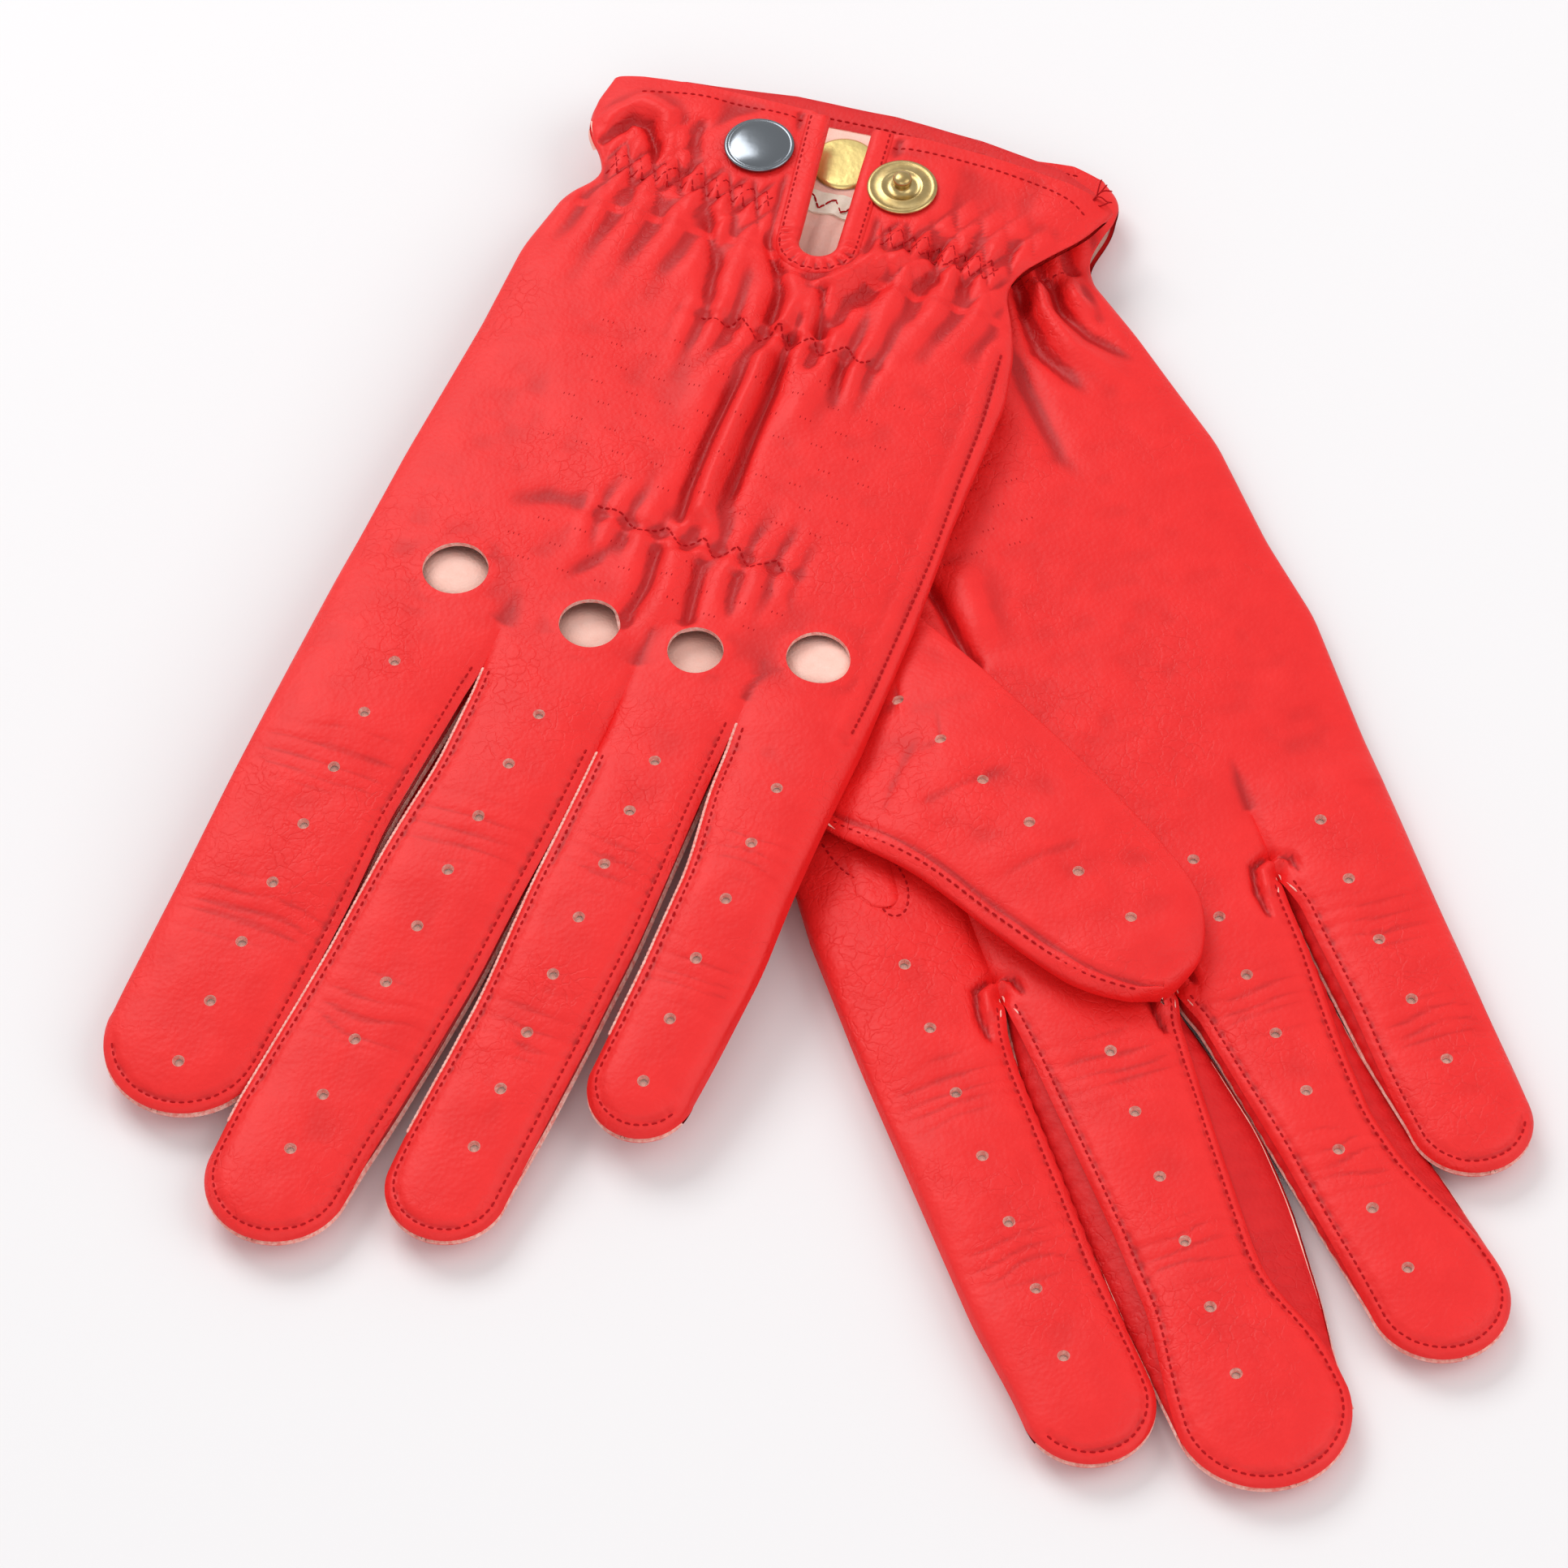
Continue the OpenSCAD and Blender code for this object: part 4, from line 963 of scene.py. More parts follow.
def build_hand(up):
    g, pre = up, PREFIX[up]
    y0 = CUT[up]
    # palm
    x, m = cut_columns(up, False)
    n = int((20 - y0) / STEP_)
    rows = np.linspace(20, y0, n + 1)
    X, Y = hand_grid(up, False, m, rows)
    Y = stretch_rim(X, Y, palm_rim)
    X[-1], Y[-1] = x, y0
    holes = [(px, py, 0.75, 2) for f in range(4) for px, py in PERFS[up][f] if py > y0 + 2.5]
    keep = warp(X, Y, holes)
    Z = hand_z(up, False, X, Y)
    for kx, ky, r in KNUCKLES if up else ():
        q = np.hypot(X - kx, (Y - ky) * (1 + 0.5 * (Y < ky)))
        Z = np.maximum(Z, Z * 0 - 2) + 3.7 * (1 - step(3.5, 10.5, q)) * step(y0, y0 + 4, Y)
    gx, gy, gz = ghost_below(up, False, x)
    X, Y, Z = np.vstack([X, gx]), np.vstack([Y, gy]), np.vstack([Z, gz])
    p = Piece()
    p.sheet(lay(up, X, Y, Z), out_dir(up, False), keep, joined="sew", ghost=(0, 1, 0, 0), folds="ew", edge_mats={"n": 0})
    seam = [(-35.7, -98.4), (-37, -105), (-36, -109.3), (-33.3, -108.7), (-30.5, -106)]
    palm_marks(p, up)
    palm = p.build(pre + "_palm", SKINS)
    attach(palm, BODY[up] + "_hand")
    # back, below the vent
    x, m = cut_columns(up, True)
    n = int((SPLIT - y0) / STEP_)
    rows = np.linspace(SPLIT, y0, n + 1)
    X, Y = hand_grid(up, True, m, rows)
    X[-1] = x
    jc = int(np.argmin(np.abs(X[0] - VENT_X)))
    holes = [(kx, ky, r, int(round(r / STEP_))) for kx, ky, r in KNUCKLES]
    X[:, jc] += 0
    keep = warp(X, Y, holes)
    Z = back_extra(up, X, Y, hand_z(up, True, X, Y))
    gx, gy, gz = ghost_below(up, True, x)
    cuff_rows = np.linspace(SPLIT, 20, int((20 - SPLIT) / STEP_) + 1)[::-1]

    def flap_grid(side):
        Xf, Yf = hand_grid(up, True, m, cuff_rows)
        edge = vent_mid(Yf[:, :1]) + side * vent_half(Yf[:, :1])
        edge = np.where(Yf[:, :1] <= VENT_Y - VENT_R + 0.01, Xf[:, jc : jc + 1], edge)
        full = step(SPLIT, SPLIT + 5, Yf[:, :1])
        centre = Xf[:, jc : jc + 1]
        shift = (edge - centre)
        if side < 0:
            cols = slice(0, jc + 1)
            rel = (Xf[:, cols] - Xf[:, :1]) / (centre - Xf[:, :1])
        else:
            cols = slice(jc, None)
            rel = (Xf[:, -1:] - Xf[:, cols]) / (Xf[:, -1:] - centre)
        Xs = Xf[:, cols] + shift * rel**3
        Ys = stretch_rim(Xs, Yf[:, cols], back_rim)
        Zs = back_extra(up, Xs, Ys, hand_z(up, True, Xs, Ys))
        return Xs, Ys, Zs

    XA, YA, ZA = flap_grid(-1)
    XB, YB, ZB = flap_grid(1)
    # a ghost row above the split, from the two flaps
    ga = [np.concatenate([A[-2], B[-2][1:]]) for A, B in ((XA, XB), (YA, YB), (ZA, ZB))]
    P = lay(up, np.vstack([ga[0], X, gx]), np.vstack([ga[1], Y, gy]), np.vstack([ga[2], Z, gz]))
    p = Piece()
    p.sheet(P, out_dir(up, True), keep, joined="nsew", ghost=(1, 1, 0, 0), folds="ew")
    back_marks(p, up)
    back = p.build(pre + "_back", SKINS)
    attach(back, BODY[up] + "_hand")
    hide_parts(NODE[up] + "_hand")
    flaps = {}
    for side, (A, B, C), which in ((-1, (XA, YA, ZA), "cap"), (1, (XB, YB, ZB), "stud")):
        cols = slice(0, jc + 1) if side < 0 else slice(jc, None)
        A, B, C = [np.vstack([v, u[1][cols][None]]) for v, u in zip((A, B, C), (X, Y, Z))]
        p = Piece()
        skip = np.zeros((len(A) - 1, A.shape[1]), bool)
        p.sheet(lay(up, A, B, C), out_dir(up, True), joined="s" + ("w" if side < 0 else "e"), ghost=(0, 1, 0, 0),
                folds="w" if side < 0 else "e", edge_mats={"n": 0})
        flap_marks(p, up, side)
        o = p.build(f"{pre}_{which}_flap", SKINS)
        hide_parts(f"{NODE[up]}_{which}_flap")
        flap_ends(up, which)
        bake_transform(o)
        flaps[which] = o
    return flaps


def palm_marks(p, up):
    d = out_dir(up, False)
    slits(p, up, False, -14, 8, -24, -52, 77)
    line = [(-42.2, -86), (-40.2, -97), (-37.4, -103.5), (-36, -109.3), (-33.3, -109.2), (-31.6, -104), (-33, -96)]
    if up:
        line = [(x + 2.6, y) for x, y in line]
    for pts in (line,):
        threads(p, surface_points(up, False, pts, 80), d, 3)
    rim = [(-36, 19.8), (-30, 21.8), (-12, 25.0), (5, 26.4), (20, 26.4), (34, 24.8), (41, 21.6)]
    threads(p, surface_points(up, False, rim, 120), d, 3)
    threads(p, surface_points(up, False, [(-33, 2.2), (-16, 1.6), (0, 1.9), (16, 1.5), (33, 2.2)], 120), d, 3, pitch=1.5)


def back_marks(p, up):
    d = out_dir(up, True)
    slits(p, up, True, -22, 30, -34, -66, 71)
    slits(p, up, True, -22, 28, -75, -86, 74)
    for k in ZIG:
        pts = [(np.clip(a, -40, 42), b) for a, b in ZIG[k]]
        flat = []
        for (ax, ay), (bx, by) in zip(pts, pts[1:]):
            flat += [(ax + (bx - ax) * s, ay + (by - ay) * s) for s in (0, 0.33, 0.66)]
        threads(p, surface_points(up, True, flat, 160), d, 3, pitch=1.25, length=1.0)
    threads(p, surface_points(up, True, [(x, y) for x, y in SIDE_SEAM[:-1]] + [(43.9, -96)], 180, 0.1), d, 3)


def slits(p, up, back, x0, x1, y0, y1, seed):
    """Groups of three short cuts in the leather, in staggered rows."""
    d = out_dir(up, back)
    row = 0
    y = y0
    while y > y1:
        x = x0 + (3.1 if row % 2 else 0)
        while x < x1:
            jx, jy = 0.5 * float(noise(x, y, 1.7, seed)), 0.4 * float(noise(x, y, 1.3, seed + 1))
            clear = all(math.hypot(x + 0.9 - kx, y - ky) > r + 2.4 for kx, ky, r in KNUCKLES) if back else True
            if clear and float(noise(x, y, 6.0, seed + 2)) > -0.62:
                for k in range(3):
                    cx, cy = x + jx + 0.85 * k, y + jy
                    pts = [(cx, cy + 0.3), (cx + 0.05, cy), (cx, cy - 0.3)]
                    threads(p, surface_points(up, back, pts, 2), d, 3, pitch=2, length=0.6, radius=0.1, lift=-0.03)
            x += 6.2
        y -= 4.1
        row += 1


def flap_marks(p, up, side):
    d = out_dir(up, True)
    if side < 0:
        rim = [(-35, 15.4), (-24, 17.9), (-12, 18.6), (-7.5, 18.6)]
        corner = [(-7.5, 18.6), (-7.2, 17.6)]
    else:
        rim = [(8.0, 18.0), (14, 19.0), (30, 19.8), (38, 18.6), (42, 16.5)]
        if up:
            base = float(hand_z(up, True, np.array([42.6]), np.array([19.6]))[0])
            for k, (dx, dy, dz) in enumerate(((2.6, 2.2, 1.6), (3.4, 0.6, 1.0), (1.4, 3.2, 1.2), (2.8, -0.6, 0.6), (0.8, 2.0, 2.2))):
                u = np.linspace(0, 1, 14)[:, None]
                q = np.array([42.0, 20.2, base]) + np.array([dx, dy, dz]) * u + np.array([0.3 * math.sin(k), 0.4, 0.5]) * np.sin(u * 4 + k)
                threads(p, lay(up, q[:, 0], q[:, 1], q[:, 2]) * 1000, d, 3, pitch=0.34, length=0.55, radius=0.13)
    threads(p, surface_points(up, True, rim, 90), d, 3)
    x0, x1 = (-34.0, -5.4) if side < 0 else (13.6, 34.0)
    n = int((x1 - x0) / 2.2)
    for flip in (1, -1):
        pts = [(x0 + 2.2 * k, flip * (2.4 if k % 2 else -2.4) - 0.4) for k in range(n + 1)]
        fine = []
        for (ax, ay), (bx, by) in zip(pts, pts[1:]):
            fine += [(ax + (bx - ax) * q, ay + (by - ay) * q) for q in (0, 0.25, 0.5, 0.75)]
        q = np.array(fine)
        z = back_extra(up, q[:, 0], q[:, 1], hand_z(up, True, q[:, 0], q[:, 1]))
        threads(p, lay(up, q[:, 0], q[:, 1], z) * 1000, d, 3, pitch=1.3, length=1.2, radius=0.15, lift=0.0)



# ------------------------------------------------------------------ the fingers
def finger_sheet_grid(up, f, back):
    y0 = CUT[up]
    t = finger_columns(up, f)
    _, _, _, _, _, y1, r = finger_parts(up, f, np.array([0.0]), np.array([-120.0]), back)
    n = int(round((y0 - y1) / STEP_))
    rows = np.linspace(y0, y1, n + 1)
    a, b = edge_x(up, f, -1, rows, back), edge_x(up, f, 1, rows, back)
    # spread the columns evenly once past the cut
    u = np.linspace(-1, 1, len(t))
    k = step(y0, y0 - 30, rows)[:, None]
    if f == 0:
        T = t[None] * (1 - k) + (0.75 * np.sign(u) * np.abs(u) + 0.25 * t)[None] * k
    elif f == 3:
        T = t[None] * (1 - k) + (0.75 * u + 0.25 * t)[None] * k
    else:
        T = np.repeat(t[None], len(rows), 0)
    X = ((a + b) / 2)[:, None] + ((b - a) / 2)[:, None] * T
    Y = np.repeat(rows[:, None], len(t), 1)
    phi = np.radians(np.concatenate([np.linspace(0, 84, max(8, int(r * 1.45 / STEP_)) + 1)[1:], [87.5]]))
    c1 = float(a[-1] + b[-1]) / 2
    Xc = c1 + r * np.cos(phi)[:, None] * T[-1][None]
    # a chord of the rounded end: each row runs straight across at one y
    Yc = y1 - r * np.sin(phi)[:, None] * np.ones_like(T[-1][None])
    X, Y = np.vstack([X, Xc]), np.vstack([Y, Yc])
    return X, Y, t, y1, r


def build_finger(up, f):
    name = f"{PREFIX[up]}_{NAMES[f]}"
    y0 = CUT[up]
    p = Piece()
    for back in (True, False):
        X, Y, t, y1, r = finger_sheet_grid(up, f, back)
        perf = [(px, py, 0.92, 2) for px, py in PERFS[up][f] if py < y0 - 2.5]
        keep = warp(X, Y, perf)
        gx = (float(edge_x(up, f, -1, y0 + STEP_, back)) + float(edge_x(up, f, 1, y0 + STEP_, back))) / 2 * 0 + X[0]
        gy = np.full(gx.shape, y0 + STEP_)
        c, w, m0 = hand_parts(up, X[0], Y[0])
        c2, w2, _ = hand_parts(up, X[0], gy)
        gx = c2 + w2 * m0
        gz = hand_z(up, back, gx, gy)
        Z = finger_z(up, f, back, X, Y)
        Z[0] = hand_z(up, back, X[0], Y[0])
        P = lay(up, np.vstack([gx, X]), np.vstack([gy, Y]), np.vstack([gz, Z]))
        R = len(X)
        skip = np.zeros(X.shape, bool)
        for side, col in ((-1, 0), (1, -1)):
            k = fork_at(f, side)
            if k is not None:
                skip[:, col] = Y[:, col] > FORKS[up][k][1] - 1.0
            else:
                skip[:, col] = Y[:, col] > y1 - 0.3 * r
        folds = ("w" if f == 0 else "") + ("e" if f == 3 else "")
        p.sheet(P, out_dir(up, back), keep, joined="n", ghost=(1, 0, 0, 0), skip=skip, folds="", lip=0.0003)
        for px, py, _, _ in perf:
            at = np.array([px]), np.array([py])
            p.behind(lay(up, *at, finger_z(up, f, back, *at))[0], out_dir(up, back), 1)
        # stitches round the edge
        a = np.concatenate([np.linspace(FORKS[up][f - 1][1] - 2 if f else y1 - 0.1 * r, y1, 60)]) if True else None
        left = [(float(edge_x(up, f, -1, y, back)) + 1.35, y) for y in np.linspace(FORKS[up][f - 1][1] - 2, y1, 60)] if f else []
        right = [(float(edge_x(up, f, 1, y, back)) - 1.35, y) for y in np.linspace(FORKS[up][f][1] - 2, y1, 60)] if f < 3 else []
        c1 = (float(edge_x(up, f, -1, y1, back)) + float(edge_x(up, f, 1, y1, back))) / 2
        s0 = 180 if f else 155
        s1 = 0 if f < 3 else 25
        arc = [(c1 + (r - 1.35) * math.cos(math.radians(q)), y1 - (r - 1.35) * math.sin(math.radians(q))) for q in np.linspace(s0, s1, 40)]
        path = np.array(left + arc + right[::-1])
        s = np.concatenate([[0], np.cumsum(np.hypot(*np.diff(path, axis=0).T))])
        e = np.linspace(0, s[-1], 400)
        q = np.stack([np.interp(e, s, path[:, 0]), np.interp(e, s, path[:, 1])], -1)
        z = finger_z(up, f, back, q[:, 0], q[:, 1])
        threads(p, lay(up, q[:, 0], q[:, 1], z) * 1000, out_dir(up, back), 3)
        if up and back and f:
            ys = np.linspace(FORKS[up][f - 1][1] - 1.5, y1 + 6, 120)
            xs = edge_x(up, f, -1, ys, back) + 0.12
            z = finger_z(up, f, back, xs, ys)
            threads(p, lay(up, xs, ys, z) * 1000, out_dir(up, back), 2, pitch=0.8, length=1.0, radius=0.3, lift=-0.1)
    if not up:
        for side in (-1, 1):
            k = fork_at(f, side)
            if k is not None:
                fx, fy = FORKS[up][k]
                pts = np.array([(fx - side * 0.5, fy - 1.2), (fx - side * 1.3, fy - 3.0), (fx - side * 1.5, fy - 4.6)])
                z = finger_z(up, f, False, pts[:, 0], pts[:, 1])
                threads(p, lay(up, pts[:, 0], pts[:, 1], z) * 1000, out_dir(up, False), 2, pitch=6, length=2.8 if side < 0 else 2.0, radius=0.16, lift=0.05)
    # the strips set into its sides
    for side in (-1, 1):
        k = fork_at(f, side)
        if k is None:
            continue
        fy = FORKS[up][k][1]
        end = TIPS[up][f] + 9
        rows = np.linspace(fy + 0.4, end, int((fy - end) / 0.9) + 1)
        v = np.linspace(0, 1, 13)
        xb = edge_x(up, f, side, rows, True)[:, None] - side * 0.25
        xp = edge_x(up, f, side, rows, False)[:, None] - side * 0.25
        e1 = finger_half(up, f, rows) * edge_rise(up, f, rows)
        mid = THICK(rows) / 2 + drop(up, rows)
        zb, zp = (mid + e1 - 0.45)[:, None], (mid - e1 + 0.45)[:, None]
        depth = (step(0, 14, fy - rows) * (1 - step(end + 16, end, rows)))[:, None]
        ruck = 0.25 * np.sin(rows * 1.9 + f)[:, None]
        if up:
            X = xb * (1 - v) + xp * v - side * (1.9 + ruck) * depth * np.sin(math.pi * v)
        else:
            vv = 1 - (1 - v) ** 1.0
            X = xb * (1 - vv) + xp * vv + side * (0.5 + 0.4 * ruck) * depth * np.sin(math.pi * v)
        Zs = zb * (1 - v) + zp * v
        Y = np.repeat(rows[:, None], len(v), 1)
        s = Piece()
        ax = world(up, side, 0, 0) - world(up, 0, 0, 0)
        s.sheet(lay(up, X, Y, Zs), ax, thick=0.0006, mats=(0, 1, 2))
        # the strips take the darker copy of the leather: painted shade for their place between the fingers
        o = s.build(f"{name}_{'inner' if side < 0 else 'outer'}_strip", [SHADED_LEATHER, SUEDE, RAW])
        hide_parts(NODE[up] + "_" + {(0, 1): "fourchette_index", (1, -1): "fourchette_middle_in", (1, 1): "fourchette_middle_out",
                    (2, -1): "fourchette_ring_in", (2, 1): "fourchette_ring_out", (3, -1): "fourchette_little"}[(f, side)])
        bend_finger(o, up)
    o = p.build(name, SKINS)
    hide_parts(f"{NODE[up]}_{NAMES[f]}")
    bend_finger(o, up)


def bend_finger(o, up):
    root = -104 if up else -137
    a, b = lay(up, 0, root + (4.0 if up else 6.0), 0), lay(up, 0, root - 12.0, 0)
    a[2] = b[2] = 0.01
    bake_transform(o)


# ------------------------------------------------------------------ the thumb
def build_thumb(up):
    upper = curve([(-20.5, -42), (-13.5, -60), (-5.4, -80), (1, -96), (6.6, -113), (8.2, -123), (5.4, -131.6), (0.4, -135.7), (-2.7, -136.6)], 150)
    lower = curve([(-44.0, -84.0), (-39.6, -93.6), (-30.2, -106.2), (-22.9, -119.2), (-15.4, -131), (-9.0, -135.6), (-5.0, -136.6), (-3.0, -136.7)], 150)
    if up:
        lower[:, 0] += 5.5 * (1 - np.linspace(0, 1, 151)) ** 3
    n, m = 150, 56
    s = np.linspace(0, 1, n + 1)[:, None]
    t = np.linspace(-1, 1, m + 1)[None]
    t = np.sign(t) * (1 - (1 - np.abs(t)) ** 1.35)
    mid, half = (upper + lower) / 2, (upper - lower) / 2
    X = mid[:, :1] + half[:, :1] * t
    Y = mid[:, 1:] + half[:, 1:] * t
    thick = 0.5 + 5.1 * step(0.02, 0.36, s) - 1.8 * step(0.82, 0.95, s)
    thick = thick * np.sqrt(np.clip(1 - (np.clip((s - 0.93) / 0.0705, 0, 1)) ** 2, 0.02, 1))
    sink = (1.4 if up else 0.0) * step(0.1, 1, s)
    prof = (1 - np.abs(t) ** 2.4) ** (1 / 2.4)
    base = -0.35 - sink
    p = Piece()
    roots = []
    perfs = [(-22.8, -74.2), (-19.5, -84.5), (-16, -93.9), (-12.1, -103.8), (-8, -114.2), (-3.4, -124.4)]
    for face in (0, 1):
        Xs, Ys = X.copy(), Y.copy()
        keep, holes = None, []
        if face == 0:
            keep = np.ones((n, m), bool)
            for px, py in perfs:
                d = np.hypot(Xs - px, Ys - py)
                i, j = np.unravel_index(np.argmin(d), d.shape)
                if not (3 < i < n - 3 and 3 < j < m - 3):
                    continue
                I, J = np.meshgrid(np.arange(i - 4, i + 5), np.arange(j - 4, j + 5), indexing="ij")
                ok = (I >= 0) & (I <= n) & (J >= 0) & (J <= m)
                I, J = np.clip(I, 0, n), np.clip(J, 0, m)
                dx, dy = X[I, J] - px, Y[I, J] - py
                q = np.maximum(abs(I - i), abs(J - j))
                rr = np.hypot(dx, dy) + 1e-9
                tgt = np.where(q <= 2, 0.9 * q / 2, 0.9 + (q - 2) * 0.5)
                w = 1 - step(0, 1, (q - 2) / 3.0)
                Xs[I, J] = Xs[I, J] * (1 - w) + (px + dx / rr * tgt) * w
                Ys[I, J] = Ys[I, J] * (1 - w) + (py + dy / rr * tgt) * w
                keep[i - 2 : i + 2, j - 2 : j + 2] = False
                holes.append((i, j))
        top = thick / 2 * prof
        if face == 0:
            rel = 0.35 * noise(Xs, Ys, 12, 41) + 0.16 * noise(Xs, Ys, 5, 42)
            for cx0, cy0, cx1, cy1, hh in ((-30, -96, -10, -93, -0.12), (-22, -112, -2, -109, -0.1), (-34, -97, -22, -82, -0.15)):
                rel = rel + fold(Xs, Ys, [(cx0, cy0), ((cx0 + cx1) / 2, (cy0 + cy1) / 2 + 0.8), (cx1, cy1)], hh, 1.0, 1.7, 0.3, 0.3)
            edge = (1 - np.abs(t)) * np.hypot(half[:, :1], half[:, 1:])
            rel = rel - 0.45 * np.exp(-(((edge - 3.0) / 0.6) ** 2)) * (t < 0) * step(0.05, 0.15, s)
            rel = rel * (1 - np.abs(t) ** 10)
            Z = base - thick / 2 - top - rel
        else:
            Z = base - thick / 2 + top * 0.98 + 0 * Xs
        Z = np.minimum(Z, -0.15)
        P = lay(up, Xs, Ys, Z)
        p.sheet(P, out_dir(up, False) if face == 0 else out_dir(up, True), keep, joined="nsew", folds="ew")
        for i, j in holes if face == 0 else ():
            p.behind(P[i, j], out_dir(up, False), 1)
        roots.append(P[0])
    # the root is closed
    a, b = roots
    k = np.arange(len(a) - 1)
    q = np.stack([k, k + 1, k + 1 + len(a), k + len(a)], -1)
    d = roots[1].mean(0) - P[4].mean(0)
    d /= np.linalg.norm(d)
    c = len(a) // 2
    if np.dot(np.cross(a[c + 1] - a[c], b[c] - a[c]), d) < 0:
        q = q[:, ::-1]
    p.quads(np.vstack([a, b]), q, np.tile(d, (2 * len(a), 1)), 0)
    # seams along the lower edge, over the tip
    for off in (1.7,):
        q = lower + (upper - lower) / np.linalg.norm(upper - lower, axis=1, keepdims=True) * off
        q = q[8:140]
        tt = -1 + 2 * off / np.linalg.norm(upper - lower, axis=1)[8:140]
        th = thick[8:140, 0]
        z = base - th / 2 - th / 2 * (1 - np.abs(tt) ** 2.4) ** (1 / 2.4) if not up else (base[8:140, 0] - th / 2 - th / 2 * (1 - np.abs(tt) ** 2.4) ** (1 / 2.4))
        z = np.asarray(z).reshape(-1)[: len(q)] if np.ndim(z) > 1 else z
        threads(p, lay(up, q[:, 0], q[:, 1], z - 0.02) * 1000, out_dir(up, False), 3, pitch=1.5)
    o = p.build(PREFIX[up] + "_thumb", SKINS)
    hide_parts(NODE[up] + "_thumb")
    if up:
        a, b = lay(up, -27 + 0.833 * 0, -76, -3), lay(up, -27 + 0.833 * 14, -76 - 0.553 * 14, -3)
    else:
        a, b = lay(up, -27 + 0.833 * 1, -76 - 0.553 * 1, -3), lay(up, -27 + 0.833 * 15, -76 - 0.553 * 15, -3)
    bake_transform(o)
    # the tongue set into the palm beside it
    u = curve([(-35.4, -96), (-36.2, -104), (-35.6, -108)], 30)
    v = np.linspace(-1, 1, 17)[None]
    w = 3.2 * np.sqrt(np.clip(1 - (np.linspace(0, 1, 31)[:, None]) ** 6, 0.02, 1))
    X, Y = u[:, :1] + w * v, u[:, 1:] + 0 * v
    Z = hand_z(up, False, X, Y) - 0.35 * (1 - v**4)
    p = Piece()
    p.sheet(lay(up, X, Y, Z), out_dir(up, False), thick=0.0005, mats=(0, 1, 0))
    o = p.build(PREFIX[up] + "_thumb_gusset", [LEATHER, SUEDE, RAW])
    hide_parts(NODE[up] + "_thumb_gusset")
    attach(o, BODY[up] + "_hand")


# ------------------------------------------------------------------ the cuff
def build_binding(up):
    """Turned strip of leather round the vent, in three pieces that share their seams."""
    ys = np.linspace(20.3, VENT_Y, 50)
    left = [(float(vent_mid(y) - vent_half(y)), float(y)) for y in ys]
    foot = [(VENT_X + VENT_R * math.cos(math.radians(a)), VENT_Y + VENT_R * math.sin(math.radians(a))) for a in np.linspace(180, 360, 46)]
    right = [(float(vent_mid(y) + vent_half(y)), float(y)) for y in ys[::-1]]
    path = np.array(left[:-1] + foot + right[1:])
    s = np.concatenate([[0], np.cumsum(np.hypot(*np.diff(path, axis=0).T))])
    n = 230
    e = np.linspace(0, s[-1], n + 1)
    q = np.stack([np.interp(e, s, path[:, 0]), np.interp(e, s, path[:, 1])], -1)
    q[1:-1] = (q[:-2] + q[1:-1] * 2 + q[2:]) / 4
    d = np.gradient(q, axis=0)
    d /= np.linalg.norm(d, axis=1, keepdims=True)
    nrm = np.stack([-d[:, 1], d[:, 0]], -1)
    if nrm[n // 2, 1] > 0:
        nrm = -nrm
    # across the strip: rolled over the vent's edge (negative) and out to its stitched outer edge
    w = np.array([-0.2, -0.62, -0.8, -0.7, -0.3, 0.2, 0.6, 1.0, 1.4, 1.8, 2.2, 2.6, 2.95, 3.05])
    h = np.array([-1.5, -1.15, -0.6, 0.0, 0.42, 0.62, 0.66, 0.62, 0.56, 0.5, 0.44, 0.34, 0.12, -0.15])
    X = q[:, :1] + nrm[:, :1] * w
    Y = q[:, 1:] + nrm[:, 1:] * w
    inside = np.maximum(w, 0.15)
    Xi, Yi = q[:, :1] + nrm[:, :1] * inside, q[:, 1:] + nrm[:, 1:] * inside
    Yr = np.minimum(Yi, 19.6)
    ang = np.arctan2(q[:, 1] - VENT_Y, q[:, 0] - VENT_X)[:, None]
    at_foot = (1 - step(VENT_Y - 1, VENT_Y + 5, q[:, 1]))[:, None]
    crimp = at_foot * 0.32 * np.cos(ang * 17) * np.exp(-(((w - 1.6) / 1.1) ** 2))
    Z = back_extra(up, Xi, Yr, hand_z(up, True, Xi, Yr)) + h + crimp + 0.08 * noise(X, Y, 3, 51)
    P = lay(up, X, Y, Z)
    foot_on = q[:, 1] < -4.5
    i0, i1 = int(np.argmax(foot_on)), int(n - np.argmax(foot_on[::-1]))
    for tag, a, b, body in (("cap", 0, i0, "cap_flap"), ("foot", i0, i1, None), ("stud", i1, n, "stud_flap")):
        ga, gb = (1 if a > 0 else 0), (1 if b < n else 0)
        p = Piece()
        seg = P[a - ga : b + 1 + gb]
        p.sheet(seg, out_dir(up, True), thick=0.0005, mats=(0, 0, 0), joined=("n" if ga else "") + ("s" if gb else ""), ghost=(ga, gb, 0, 0))
        wi = 11
        pts = (P[a : b + 1, wi] * 0.35 + P[a : b + 1, wi - 1] * 0.65) * 1000
        threads(p, pts, out_dir(up, True), 1, pitch=1.25, lift=0.02)
        o = p.build(f"{PREFIX[up]}_vent_binding_{tag}", [LEATHER, THREAD])
        if body:
            flap_ends(up, tag)
            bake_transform(o)
        else:
            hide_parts(NODE[up] + "_vent_binding")
            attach(o, BODY[up] + "_hand")


